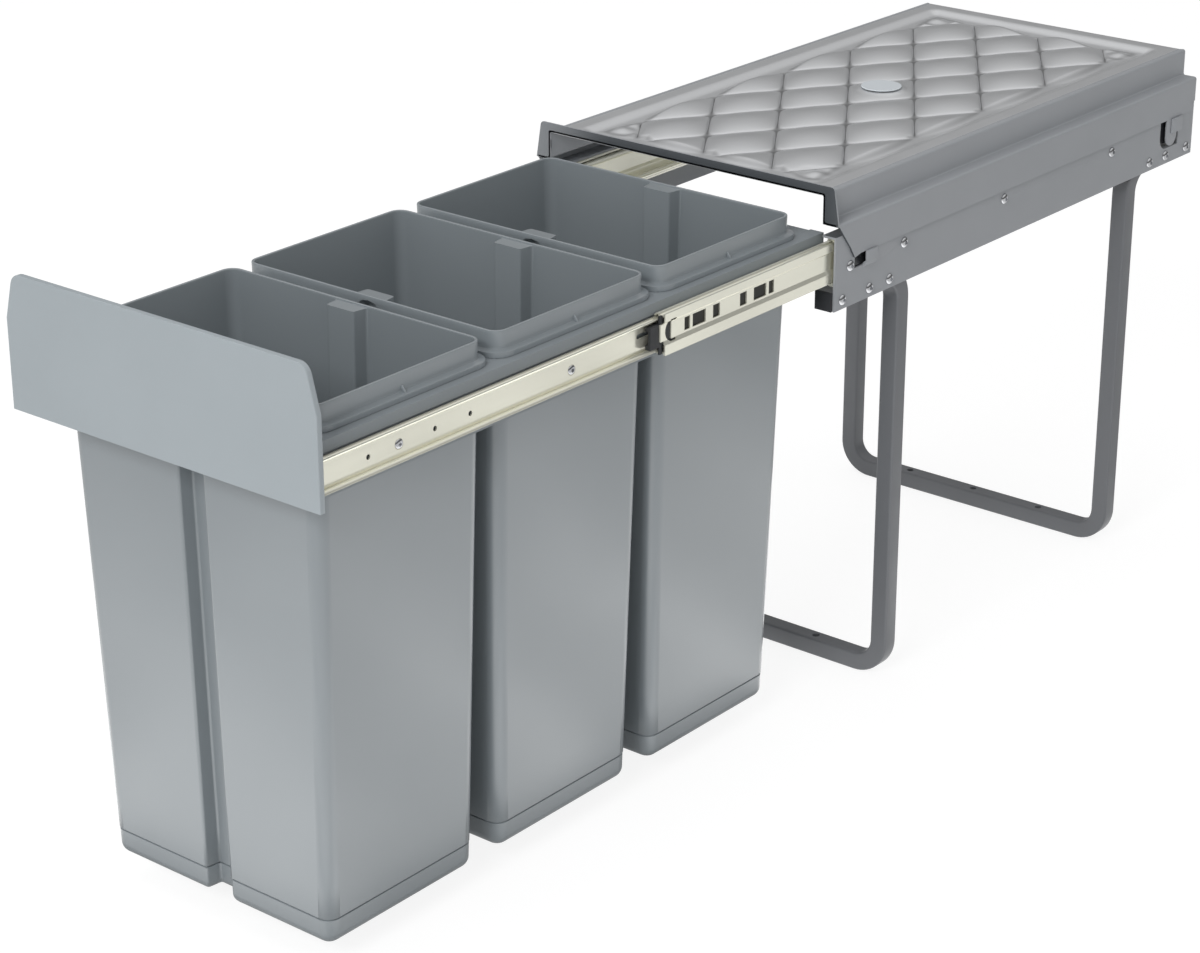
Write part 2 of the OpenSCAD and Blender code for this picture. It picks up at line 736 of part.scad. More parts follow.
// The sheet of a raceway round a ball, kept on one side of the cage
module race(u, v, sheet, upper) {
    gap = upper ? race_open : -race_open;
    reach = race_r + sheet;
    intersection() {
        translate([u, v]) difference() {
            circle(r = reach, $fn = round_fn);
            circle(r = race_r, $fn = round_fn);
        }
        if (upper) {
            from_to([u - reach, v + gap], [u + reach, v + reach]);
        } else {
            from_to([u - reach, v - reach], [u + reach, v + gap]);
        }
    }
}

// Both halves of an outline, above and below the slide's centre line
module up_and_down() {
    children();
    mirror([0, 1]) children();
}

module outer_outline() {
    up_and_down() {
        from_to([0, 0], [outer_sheet, slide_height / 2]);
        from_to([0, slide_height / 2 - outer_sheet], [ball_u_outer, slide_height / 2]);
        race(ball_u_outer, ball_v_outer, outer_sheet, true);
    }
}

// The web lies deeper than the bands above and below it, a little above the slide's centre line
module middle_outline() {
    web_u = middle_u + middle_recess;
    band_top = ball_v_outer - race_open;
    web_low = web_rise - web_half;
    web_top = web_rise + web_half;
    low = web_low - web_slope;
    high = web_top + web_upper_slope;
    polygon([
        [web_u, web_top], [web_u, web_low], [middle_u, low], [middle_u, -band_top],
        [middle_u + member_sheet, -band_top], [middle_u + member_sheet, low],
        [web_u + member_sheet, web_low], [web_u + member_sheet, web_top],
        [middle_u + member_sheet, high], [middle_u + member_sheet, band_top],
        [middle_u, band_top], [middle_u, high]]);
    up_and_down() {
        race(ball_u_outer, ball_v_outer, member_sheet, false);
        race(ball_u_inner, ball_v_inner, member_sheet, true);
    }
}

module inner_outline() {
    web_top = ball_v_inner - race_r * 0.8;
    up_and_down() {
        from_to([slide_depth - member_sheet, 0], [slide_depth, web_top]);
        race(ball_u_inner, ball_v_inner, member_sheet, false);
    }
}

// A slide outline in place on the right side
module slide_run(from_y, to_y) {
    along_y(from_y, to_y) translate([panel_inner_x, slide_z]) mirror([1, 0]) children();
}

function slide_x(u) = panel_inner_x - u;

module slide_outer(side) {
    color("#c9c7b8") on_side(side) difference() {
        slide_run(slide_front, slide_rear) outer_outline();
        for (place = slide_screw_places)
            rod_x(slide_x(outer_sheet + cut), panel_inner_x + cut, panel_front + place,
                  slide_z - slide_screw_drop, screw_d + 2 * screw_gap);
    }
}

module slide_middle(side) {
    web = stop_u + cut;
    color("#e6e3d3") on_side(side) translate([0, middle_open_y, 0]) difference() {
        union() {
            slide_run(middle_front, middle_front + middle_length) middle_outline();
            slide_run(middle_front - mouth_reach, middle_front + member_sheet)
                from_to([middle_u + middle_recess, web_rise - web_half],
                        [middle_u + middle_recess + member_sheet, web_rise + web_half]);
        }
        for (k = [0 : 2])
            for (start = [slot_starts[k],
                          2 * slot_group_length + slot_group_gap - slot_starts[k] - slot_widths[k]])
                translate([slide_x(web), middle_front + slot_first + start, slide_z + web_rise - slot_height / 2])
                    cube([web, slot_widths[k], slot_height]);
        mouth_cut(web);
    }
}

// The round cut at the mouth, flat at its rear, with a barb that runs back from each end
module mouth_cut(web) {
    start = middle_front + mouth_cut_start;
    rear = start + mouth_cut_width;
    chord = sqrt(pow(mouth_cut_r, 2) - pow(mouth_cut_r - mouth_cut_width, 2));
    intersection() {
        rod_x(slide_x(web), slide_x(0), start + mouth_cut_r, slide_z + web_rise, 2 * mouth_cut_r);
        translate([slide_x(web), start - cut, slide_z + web_rise - mouth_cut_r])
            cube([web, mouth_cut_width + cut, 2 * mouth_cut_r]);
    }
    for (s = [0, 1]) translate([0, 0, slide_z + web_rise]) mirror([0, 0, s])
        translate([slide_x(web), rear - mouth_barb_height, chord - mouth_barb_height])
            cube([web, mouth_barb + mouth_barb_height, mouth_barb_height]);
}

// Plastic stop in the mouth of the middle member
module slide_stop(side) {
    start = middle_front - stop_reach;
    color("#24262a") on_side(side) translate([0, middle_open_y, 0]) difference() {
        union() {
            box_from_to([slide_x(stop_u + stop_depth), start, slide_z - stop_half_height],
                        [slide_x(stop_u), start + stop_length, slide_z + stop_half_height]);
            // Cap that covers the end of the middle member
            box_from_to([slide_x(ball_u_inner - race_r - member_sheet - stop_cap_gap),
                         middle_front - stop_cap_thickness, slide_z - stop_cap_half_height],
                        [slide_x(stop_u), middle_front, slide_z + stop_cap_half_height]);
        }
        // Lead-in that the inner member's end meets
        translate([slide_x(stop_u + stop_depth) - cut, start, slide_z]) rotate([0, 90, 0])
            cylinder(h = stop_depth / 2 + cut, r = stop_half_height * 0.6, $fn = round_fn);
    }
}

module slide_inner(side) {
    color("#ebe9da") on_side(side) translate([0, open_y, 0]) difference() {
        slide_run(inner_front, inner_front + slide_length) inner_outline();
        for (share = drawer_screw_shares)
            rod_x(drawer_side_x - cut, slide_x(slide_depth - member_sheet - cut),
                  inner_front + share * slide_length, drawer_screw_z, screw_d + 2 * screw_gap);
        for (share = drawer_hole_shares)
            rod_x(drawer_side_x - cut, slide_x(slide_depth - member_sheet - cut),
                  inner_front + share * slide_length, drawer_screw_z, drawer_hole_d);
        // Slot with round ends
        for (share = key_slot_shares)
            rod_x(drawer_side_x - cut, slide_x(slide_depth - member_sheet - cut),
                  inner_front + share * slide_length, slide_z + key_slot_rise, key_slot_height);
        box_from_to([drawer_side_x - cut, inner_front + key_slot_shares[0] * slide_length,
                     slide_z + key_slot_rise - key_slot_height / 2],
                    [slide_x(slide_depth - member_sheet - cut), inner_front + key_slot_shares[1] * slide_length,
                     slide_z + key_slot_rise + key_slot_height / 2]);
    }
}

// A cage: an upright strip with a plate at each ball row, bored for the balls
module cage_shape(start, length, strip_u, plate_u, ball_u, ball_v, balls) {
    plate_v = ball_v - cage_sheet / 2;
    difference() {
        slide_run(start, start + length) {
            up_and_down() {
                from_to([strip_u, 0], [strip_u + cage_sheet, plate_v + cage_sheet]);
                from_to([strip_u, plate_v], [plate_u, plate_v + cage_sheet]);
            }
        }
        for (k = [0 : balls - 1])
            translate([slide_x(ball_u), ball_y(start, length, balls, k), slide_z - slide_height])
                cylinder(h = 2 * slide_height, d = ball_d + 4 * ball_gap, $fn = round_fn);
    }
}

function ball_y(start, length, balls, k) = start + length * (k + 0.5) / balls;

module ball_rows(start, length, ball_u, ball_v, balls) {
    for (k = [0 : balls - 1], s = [-1, 1])
        translate([slide_x(ball_u), ball_y(start, length, balls, k), slide_z + s * ball_v])
            sphere(d = ball_d, $fn = round_fn);
}

module cage_outer(side) {
    color("#b9b7ab") on_side(side) translate([0, outer_cage_y, 0])
        cage_shape(outer_cage_front, outer_cage_length, outer_sheet + cage_gap,
                   ball_u_outer + race_r + outer_sheet, ball_u_outer, ball_v_outer, outer_cage_balls);
}

module cage_inner(side) {
    color("#3a3c40") on_side(side) translate([0, inner_cage_y, 0])
        cage_shape(inner_cage_front, inner_cage_length, stop_u + cage_gap,
                   ball_u_inner + race_r + member_sheet, ball_u_inner, ball_v_inner, inner_cage_balls);
}

module balls_outer(side) {
    color("#d4d6d8") on_side(side) translate([0, outer_cage_y, 0])
        ball_rows(outer_cage_front, outer_cage_length, ball_u_outer, ball_v_outer, outer_cage_balls);
}

module balls_inner(side) {
    color("#d4d6d8") on_side(side) translate([0, inner_cage_y, 0])
        ball_rows(inner_cage_front, inner_cage_length, ball_u_inner, ball_v_inner, inner_cage_balls);
}

// Screws through the side panels

module screw_from_outside(y, z, length) {
    translate([panel_x, y, z]) rotate([0, 90, 0]) button_screw(length, screw_head_d, screw_head_h, screw_d);
}

module slide_screws(side) {
    length = panel_sheet + outer_sheet;
    color("#c8cbce") on_side(side)
        for (place = slide_screw_places)
            screw_from_outside(panel_front + place, slide_z - slide_screw_drop, length);
}

module leg_screws(side) {
    length = panel_sheet + tube_wall + leg_screw_reach;
    color("#c8cbce") on_side(side)
        for (place = concat(front_leg_screw_places, rear_leg_screw_places))
            screw_from_outside(panel_front + place, leg_top_z, length);
}

// Drawer frame

// The rail's folded outline: top flange, rolled shoulder, upright web and foot flange
module rail_outline() {
    low = rail_top - rail_height;
    shoulder_low = rail_top - rail_shoulder;
    from_to([rail_inner_x, rail_top - rail_sheet], [rail_shoulder_x, rail_top]);
    from_to([rail_shoulder_x - rail_sheet, shoulder_low], [rail_shoulder_x, rail_top]);
    from_to([rail_face_x - rail_sheet, shoulder_low], [rail_shoulder_x, shoulder_low + rail_sheet]);
    from_to([rail_face_x - rail_sheet, low], [rail_face_x, shoulder_low + rail_sheet]);
    from_to([rail_inner_x, low], [rail_face_x, low + rail_sheet]);
}

module drawer_rail(side) {
    color("#8d9196") on_side(side) translate([0, open_y, 0]) difference() {
        union() {
            along_y(plate_rear, rail_end) rail_outline();
            for (share = drawer_screw_shares)
                rod_x(rail_face_x - rail_sheet, drawer_side_x, inner_front + share * slide_length,
                      drawer_screw_z, rail_pad_d);
        }
        for (share = drawer_screw_shares)
            rod_x(rail_face_x - rail_sheet - cut, drawer_side_x + cut, inner_front + share * slide_length,
                  drawer_screw_z, screw_d + 2 * screw_gap);
    }
}

module drawer_screws(side) {
    length = member_sheet + rail_pad + rail_sheet;
    color("#c8cbce") on_side(side) translate([0, open_y, 0])
        for (share = drawer_screw_shares)
            translate([slide_x(slide_depth - member_sheet), inner_front + share * slide_length, drawer_screw_z])
                rotate([0, 90, 0]) button_screw(length, slide_screw_head_d, slide_screw_head_h, screw_d);
}

// An inverted channel across the drawer, its top level with the rails
module cross_bar(from_y, to_y) {
    low = rail_top - cross_bar_height;
    color("#8d9196") translate([0, open_y, 0]) along_x(-rail_inner_x, rail_inner_x) {
        from_to([from_y, rail_top - rail_sheet], [to_y, rail_top]);
        from_to([from_y, low], [from_y + rail_sheet, rail_top]);
        from_to([to_y - rail_sheet, low], [to_y, rail_top]);
    }
}

module cross_bar_front() {
    low = rail_top - rail_height;
    lip_low = rail_top - cross_bar_height;
    to_y = plate_rear + front_bar_depth;
    color("#8d9196") translate([0, open_y, 0]) difference() {
        along_x(-rail_inner_x, rail_inner_x) {
            from_to([plate_rear, rail_top - rail_sheet], [to_y, rail_top]);
            from_to([plate_rear, low], [plate_rear + rail_sheet, rail_top]);
            from_to([to_y - rail_sheet, lip_low], [to_y, rail_top]);
        }
        plate_screw_holes(screw_gap);
    }
}

module plate_screw_holes(gap) {
    for (s = [-1, 1], row = plate_screw_rows)
        translate([s * plate_screw_x, plate_rear - plate_hole_depth, rail_top - rail_height + row])
            rotate([-90, 0, 0])
                cylinder(h = plate_hole_depth + rail_sheet + cut, d = plate_screw_d + 2 * gap, $fn = round_fn);
}

module plate_screws() {
    length = rail_sheet + plate_hole_depth - 2 * screw_gap;
    color("#c8cbce") translate([0, open_y, 0])
        for (s = [-1, 1], row = plate_screw_rows)
            translate([s * plate_screw_x, plate_rear + rail_sheet, rail_top - rail_height + row])
                rotate([-90, 0, 0]) button_screw(length, screw_head_d, screw_head_h, plate_screw_d);
}

// Front plate

// The plate's outline, or the one that lies a distance inside it and runs on past the lower edge
module plate_outline(inside) {
    slope = atan2(plate_draw_in, plate_height - plate_side_height);
    half = panel_x - plate_inset - inside;
    top = plate_height - inside;
    side_top = plate_side_height - inside * tan(slope / 2);
    corner_r = plate_corner_r - inside;
    corner_x = panel_x - plate_inset - plate_draw_in - plate_corner_r * tan((90 - slope) / 2);
    arc = [for (a = [0 : 6]) let (t = slope + (90 - slope) * a / 6)
        [corner_x + corner_r * cos(t), top - corner_r + corner_r * sin(t)]];
    right = concat([[half, inside > 0 ? -cut : 0], [half, side_top]], arc);
    left = [for (k = [len(right) - 1 : -1 : 0]) [-right[k][0], right[k][1]]];
    polygon(concat(right, left));
}

module front_plate() {
    color("#a9aeb4") translate([0, open_y, 0]) difference() {
        along_y(plate_front, plate_front + plate_return)
            translate([0, stand_height + plate_lift]) plate_outline(0);
        along_y(plate_rear, plate_front + plate_return + cut)
            translate([0, stand_height + plate_lift]) plate_outline(plate_sheet);
        plate_screw_holes(screw_gap);
    }
}

// Bins

function quarter_arc(cx, cy, r, from_angle) =
    [for (i = [0 : bin_arc_steps])
        [cx + r * cos(from_angle + 90 * i / bin_arc_steps), cy + r * sin(from_angle + 90 * i / bin_arc_steps)]];

// A rounded rectangle with a channel of width cw and depth cd in its front and rear sides
function bin_outline(hx, hy, r, cw, cd) = concat(
    quarter_arc(hx - r, hy - r, r, 0),
    [[cw / 2, hy], [cw / 2 * channel_floor_share, hy - cd],
     [-cw / 2 * channel_floor_share, hy - cd], [-cw / 2, hy]],
    quarter_arc(r - hx, hy - r, r, 90),
    quarter_arc(r - hx, r - hy, r, 180),
    [[-cw / 2, -hy], [-cw / 2 * channel_floor_share, cd - hy],
     [cw / 2 * channel_floor_share, cd - hy], [cw / 2, -hy]],
    quarter_arc(hx - r, r - hy, r, 270));

// Half width and half length of the bin's outside at a height above its underside
function bin_hx(h) = (bin_foot_width + (bin_rim_width - bin_foot_width) * h / bin_height) / 2;
function bin_hy(h) = (bin_foot_length + (bin_rim_length - bin_foot_length) * h / bin_height) / 2;

// One ring of the skin: h above the underside, out beyond the outer wall
function ring(h, out, cw, cd) =
    [for (p = bin_outline(bin_hx(h) + out, bin_hy(h) + out, max(bin_corner_r + out, bin_corner_r / 3),
                          cw - 2 * out, cd)) [p[0], p[1], bin_low_z + h]];

// A closed skin over rings that have the same number of points
module loft(rings) {
    n = len(rings[0]);
    m = len(rings);
    sides = [for (k = [0 : m - 2], i = [0 : n - 1], h = [0, 1])
        let (a = k * n + i, b = k * n + (i + 1) % n)
        h == 0 ? [a, a + n, b + n] : [a, b + n, b]];
    polyhedron(
        points = [for (one = rings) each one],
        faces = concat([[for (i = [0 : n - 1]) i]], sides, [[for (i = [n - 1 : -1 : 0]) (m - 1) * n + i]]),
        convexity = 8);
}

// The skin runs up the outside, round the hanging flange, over the rim and down the inside.
// The channels end in a half-round arch, and the ribs they make inside in a flat cap.
module bin_body() {
    lip_low = bin_height - bin_rim_rise;
    lip_top = lip_low + bin_lip_height;
    lip_t = bin_wall * 0.8;
    arch_r = channel_width / 2;
    arch_low = bin_height - bin_wall - channel_cap - arch_r;
    slit = channel_width * 0.03;
    roof = bin_wall * 0.15;
    cap_low = bin_height - channel_cap;
    loft(concat(
        [for (a = [0, 30, 60, 90])
            ring(bin_foot_r * (1 - cos(a)), -bin_foot_r * (1 - sin(a)) - bin_foot_ledge,
                 channel_width, channel_depth)],
        [ring(bin_foot_band, -bin_foot_ledge, channel_width, channel_depth),
         ring(bin_foot_band + bin_foot_ledge, 0, channel_width, channel_depth),
         ring(lip_top - lip_t, 0, channel_width, channel_depth),
         ring(lip_top - lip_t, bin_flange - lip_t, channel_width, channel_depth),
         ring(lip_low, bin_flange - lip_t, channel_width, channel_depth),
         ring(lip_low, bin_flange, channel_width, channel_depth),
         ring(lip_top, bin_flange, channel_width, channel_depth),
         ring(lip_top, 0, channel_width, channel_depth)],
        [for (a = [20, 40, 60, 80])
            ring(arch_low + arch_r * sin(a), 0, channel_width * cos(a), channel_depth)],
        [ring(arch_low + arch_r, 0, slit, channel_depth),
         ring(arch_low + arch_r + roof, 0, slit, 0),
         ring(bin_height, 0, slit, 0),
         ring(bin_height, -bin_wall, channel_width, 0),
         ring(cap_low, -bin_wall, channel_width, 0),
         ring(cap_low - roof, -bin_wall, channel_width, channel_depth),
         ring(bin_floor + bin_foot_r, -bin_wall, channel_width, channel_depth),
         ring(bin_floor + bin_foot_r * 0.3, -bin_wall - bin_foot_r * 0.3, channel_width, channel_depth),
         ring(bin_floor, -bin_wall - bin_foot_r * 0.8, channel_width, channel_depth)]));
}

module bin(k) {
    color("#8b9094") translate([0, bin_places[k] + open_y, 0]) bin_body();
}

side_panel("left");  // side_panel_left
side_panel("right");  // side_panel_right
leg_front();
leg_rear();
leg_plugs();
lid();
lid_badge();
slide_outer("left");  // slide_outer_left
slide_outer("right");  // slide_outer_right
slide_middle("left");  // slide_middle_left
slide_middle("right");  // slide_middle_right
slide_inner("left");  // slide_inner_left
slide_inner("right");  // slide_inner_right
slide_stop("left");  // slide_stop_left
slide_stop("right");  // slide_stop_right
cage_outer("left");  // cage_outer_left
cage_outer("right");  // cage_outer_right
cage_inner("left");  // cage_inner_left
cage_inner("right");  // cage_inner_right
balls_outer("left");  // balls_outer_left
balls_outer("right");  // balls_outer_right
balls_inner("left");  // balls_inner_left
balls_inner("right");  // balls_inner_right
slide_screws("left");  // slide_screws_left
slide_screws("right");  // slide_screws_right
leg_screws("left");  // leg_screws_left
leg_screws("right");  // leg_screws_right
drawer_rail("left");  // drawer_rail_left
drawer_rail("right");  // drawer_rail_right
drawer_screws("left");  // drawer_screws_left
drawer_screws("right");  // drawer_screws_right
cross_bar_front();
cross_bar(bar_gap_y - cross_bar_width / 2, bar_gap_y + cross_bar_width / 2);  // cross_bar_middle_1
cross_bar(bar_gap_y + bin_pitch - cross_bar_width / 2, bar_gap_y + bin_pitch + cross_bar_width / 2);  // cross_bar_middle_2
cross_bar(rear_bar_end - rear_bar_width, rear_bar_end);  // cross_bar_rear
front_plate();
plate_screws();
bin(0);  // bin_front
bin(1);  // bin_middle
bin(2);  // bin_rear
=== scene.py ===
"""Looks of a pull-out bin unit for a kitchen cabinet, laid out as an add-on and run as a script."""
import json
import math

import bmesh
import bpy
from bpy.props import FloatProperty, FloatVectorProperty, IntProperty, PointerProperty
from bpy.types import Operator, Panel, PropertyGroup
from mathutils import Matrix, Vector

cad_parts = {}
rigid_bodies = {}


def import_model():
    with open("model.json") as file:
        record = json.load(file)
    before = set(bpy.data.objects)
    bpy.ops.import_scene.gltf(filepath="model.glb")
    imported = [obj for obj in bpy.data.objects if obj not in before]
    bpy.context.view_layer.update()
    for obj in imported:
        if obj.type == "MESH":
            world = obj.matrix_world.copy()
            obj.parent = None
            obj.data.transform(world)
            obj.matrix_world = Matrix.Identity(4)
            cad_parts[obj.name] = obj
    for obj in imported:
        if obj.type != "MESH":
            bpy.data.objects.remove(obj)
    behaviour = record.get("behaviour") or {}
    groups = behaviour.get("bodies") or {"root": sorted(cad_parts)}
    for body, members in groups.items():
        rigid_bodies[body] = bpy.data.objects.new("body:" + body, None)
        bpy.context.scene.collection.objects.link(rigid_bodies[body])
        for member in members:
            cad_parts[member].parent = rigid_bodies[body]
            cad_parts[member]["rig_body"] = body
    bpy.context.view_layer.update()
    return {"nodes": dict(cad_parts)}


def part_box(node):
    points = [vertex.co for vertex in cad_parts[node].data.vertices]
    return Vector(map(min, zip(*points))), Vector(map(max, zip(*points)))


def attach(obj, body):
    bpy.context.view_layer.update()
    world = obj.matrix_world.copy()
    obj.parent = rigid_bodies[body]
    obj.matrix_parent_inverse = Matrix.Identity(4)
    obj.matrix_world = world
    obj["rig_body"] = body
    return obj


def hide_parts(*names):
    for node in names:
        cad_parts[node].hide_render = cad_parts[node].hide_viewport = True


bl_info = {
    "name": "Pull-out Bin Unit",
    "version": (1, 0, 0),
    "blender": (4, 5, 0),
    "location": "View3D > Sidebar > Bin Unit",
    "description": "Makes the visible pieces and finishes of a pull-out bin unit round its packed frame",
    "category": "Add Mesh",
}

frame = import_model()
MM = 0.001
PACKED_WELD = 0.000004
OWN_WELD = 0.000001
LARGE_FACE = 300 * MM * MM
SIDES = (("left", -1), ("right", 1))


# Sizes and colours that a user would change


def length(title, what, millimetres):
    """A length property with its default in millimetres."""
    return FloatProperty(name=title, description=what, default=millimetres * MM, unit="LENGTH")


def tint(title, what, *value):
    """A colour property, written as the colour looks on a screen."""
    return FloatVectorProperty(name=title, description=what, default=value, size=3, min=0, max=1,
                               subtype="COLOR_GAMMA")


class LidSizes(PropertyGroup):
    """Sizes of the folded and quilted lid."""
    sheet: length("Sheet", "Thickness of the lid's sheet", 1.5)
    wall_x: length("Wall", "Middle of the lid to its upright walls", 115.6)
    upper_height: length("Upper height", "Ledges to the lid's top", 19.2)
    skirt_depth: length("Skirt depth", "Ledges to the lower edge of the skirts", 24.8)
    skirt_slant: length("Skirt slant", "Length of the slanted front of a skirt", 20.8)
    fold_radius: length("Fold radius", "Outer radius of the sheet's folds", 1.8)
    diamond_width: length("Diamond width", "Width of one quilted diamond", 56.7)
    diamond_length: length("Diamond length", "Length of one quilted diamond", 83.7)
    recess: length("Recess", "Depth of the creases below the lid's top", 2.9)
    rise: length("Rise", "Height of a pillow above the creases", 3.8)
    cells: IntProperty(name="Cells", description="Mesh cells along half a diamond", default=20, min=6, max=28)


class BinSizes(PropertyGroup):
    """Sizes of the hanging bins."""
    rim_width: length("Rim width", "Width over the rim", 204)
    rim_length: length("Rim length", "Length over the rim", 137.5)
    foot_width: length("Foot width", "Width at the foot", 183)
    foot_length: length("Foot length", "Length at the foot", 127)
    wall: length("Wall", "Thickness of the wall", 2)
    flange: length("Flange", "Reach of the hanging flange", 4.6)
    rim_rise: length("Rim rise", "Flange to rim", 15.4)
    corner_radius: length("Corner radius", "Radius of the upright corners", 9)
    channel_width: length("Channel width", "Width of the upright channels", 20)
    channel_depth: length("Channel depth", "Depth of the upright channels", 10)


class LegSizes(PropertyGroup):
    """Sizes of the bent tube legs."""
    tube: length("Tube", "Side of the square tube", 13)
    edge_radius: length("Edge radius", "Radius of the tube's long edges", 1.6)
    bend_radius: length("Bend radius", "Radius of the bends on the centre line", 20)
    hole: length("Hole", "Diameter of the floor screw holes", 5.2)
    hole_spacing: length("Hole spacing", "Distance between the floor screw holes", 60)


class Finishes(PropertyGroup):
    """Colours of the finishes."""
    frame_grey: tint("Frame grey", "Powder coat of the side panels and the lid's folds", 0.634, 0.646, 0.662)
    rail_grey: tint("Rail grey", "Powder coat of the drawer's rails and cross bars", 0.543, 0.568, 0.585)
    lid_grey: tint("Lid grey", "Metallic coat of the lid's top", 0.850, 0.855, 0.862)
    # Painted shade: this dark grey is laid on the lid's rim front, the skirts' cut edges and the panels'
    # inner faces and top flanges, where shade falls.
    painted_shade_grey: tint("Hem grey", "Dark coat on the lid's rim and in the folds' shade", 0.320, 0.336, 0.352)
    leg_grey: tint("Leg grey", "Powder coat of the legs", 0.462, 0.470, 0.484)
    plate_grey: tint("Plate grey", "Powder coat of the front plate", 0.650, 0.682, 0.700)
    bin_grey: tint("Bin grey", "Plastic of the bins", 0.542, 0.570, 0.587)
    zinc: tint("Zinc", "Yellowish zinc plate of the slides", 0.990, 0.985, 0.925)
    # Painted shade: the ball cages' steel is given this dark tone for the shade they lie in inside the
    # slides.
    cage: tint("Cage", "Dark steel of the ball cages", 0.230, 0.230, 0.220)
    bright: tint("Bright metal", "Plate of the screws and the balls", 0.800, 0.805, 0.815)
    # Its colour is also painted as shade on the slides behind the panels' windows and the middle members'
    # slots.
    black: tint("Black plastic", "Plastic of the stops and the tube plugs", 0.165, 0.172, 0.185)
    badge: tint("Badge", "Plain round badge", 0.900, 0.925, 0.945)


class BinUnitSettings(PropertyGroup):
    """All the settings of the bin unit."""
    lid: PointerProperty(type=LidSizes, name="Lid", description="Sizes of the lid")
    bins: PointerProperty(type=BinSizes, name="Bins", description="Sizes of the bins")
    legs: PointerProperty(type=LegSizes, name="Legs", description="Sizes of the legs")
    finish: PointerProperty(type=Finishes, name="Finishes", description="Colours of the finishes")


# Node trees


def feed(tree, place, value):
    """Sets an input socket to a constant, or links it to a socket, a Value or a node's first output."""
    if isinstance(value, Value):
        value = value.socket
    if isinstance(value, bpy.types.Node):
        value = value.outputs[0]
    if isinstance(value, bpy.types.NodeSocket):
        tree.links.new(value, place)
    else:
        place.default_value = value


def add_node(tree, kind, inputs=(), **settings):
    """A node with its settings and its inputs, which feed() sets."""
    made = tree.nodes.new(kind)
    for key, value in settings.items():
        setattr(made, key, value)
    for key, value in dict(inputs).items():
        feed(tree, made.inputs[key], value)
    return made


def math_of(tree, operation, *values):
    """The result of one Math node on numbers and Values."""
    made = add_node(tree, "ShaderNodeMath", enumerate(values), operation=operation)
    return Value(tree, made)


def summed(operation, swapped=False):
    """A method that writes one Math node, with its own value first unless swapped."""
    def method(self, *others):
        return math_of(self.tree, operation, *((*others, self) if swapped else (self, *others)))
    return method


class Value:
    """A socket or node of a tree; plain sums written with it become Math nodes."""
    __add__ = __radd__ = summed("ADD")
    __sub__ = summed("SUBTRACT")
    __rsub__ = summed("SUBTRACT", swapped=True)
    __mul__ = __rmul__ = summed("MULTIPLY")
    __truediv__ = summed("DIVIDE")
    __pow__ = summed("POWER")
    __abs__ = summed("ABSOLUTE")
    __gt__ = summed("GREATER_THAN")
    __lt__ = summed("LESS_THAN")
    sine = summed("SINE")
    root = summed("SQRT")
    at_least = summed("MAXIMUM")

    def __init__(self, tree, socket):
        self.tree = tree
        self.socket = socket

    def ranged(self, low, high, to_low=0.0, to_high=1.0, kind="SMOOTHSTEP"):
        """This value, moved from one range to another and held inside it; a smooth step unless told."""
        made = add_node(self.tree, "ShaderNodeMapRange", {
            "Value": self, "From Min": low, "From Max": high, "To Min": to_low, "To Max": to_high},
            interpolation_type=kind)
        return Value(self.tree, made.outputs["Result"])


def separated(tree, vector):
    """The X, Y and Z of a vector socket."""
    parts = add_node(tree, "ShaderNodeSeparateXYZ", {0: vector})
    return [Value(tree, socket) for socket in parts.outputs]


def coordinates(tree, kind="Object"):
    """The X, Y and Z of a texture coordinate."""
    return separated(tree, add_node(tree, "ShaderNodeTexCoord").outputs[kind])


def distance(a, b):
    """The length of the way that goes a and then b, at right angles."""
    return (a * a + b * b).root()


# Materials

NOISE_MIDDLE = (0.25, 0.75)
# Painted shade along the quilt's creases
CREASE_WIDTH = 0.045
CREASE_SHADE = 0.40
# Painted shade on the lid's rim front, faded lighter towards the left
SHADE_FADE = (60 * MM, 124 * MM)
SHADE_FADE_SHARE = 0.6


def linear(colour, factor=1.0):
    """A screen colour as linear light times a factor, with an alpha of 1."""
    steps = [c / 12.92 if c <= 0.04045 else ((c + 0.055) / 1.055) ** 2.4 for c in colour]
    return (*[step * factor for step in steps], 1.0)


def noise(tree, scale, detail=2.0, stretch=(1, 1, 1)):
    """Noise on object coordinates, with a scale in waves per metre."""
    place = add_node(tree, "ShaderNodeTexCoord")
    mapping = add_node(tree, "ShaderNodeMapping", {"Vector": place.outputs["Object"], "Scale": stretch})
    cloud = add_node(tree, "ShaderNodeTexNoise", {
        "Vector": mapping, "Scale": scale, "Detail": detail, "Roughness": 0.55})
    return Value(tree, cloud)


def mixed(tree, a, b, factor, kind="MIX"):
    """Two colours mixed by a factor."""
    mix = add_node(tree, "ShaderNodeMix", {"A": a, "B": b, "Factor": factor},
                   data_type="RGBA", blend_type=kind)
    return mix.outputs["Result"]


def tinted(tree, colour, value, low, high):
    """The colour, darker and lighter with a noise value between two factors."""
    return mixed(tree, linear(colour, low), linear(colour, high), value.ranged(*NOISE_MIDDLE, kind="LINEAR"))


def overlaid(made, colour, factor, kind="MIX"):
    """Lays a linear colour over a material's own colour, by a factor in its tree."""
    tree = made.node_tree
    base = tree.nodes["Principled BSDF"].inputs["Base Color"]
    tree.links.new(mixed(tree, base.links[0].from_socket, colour, factor, kind), base)


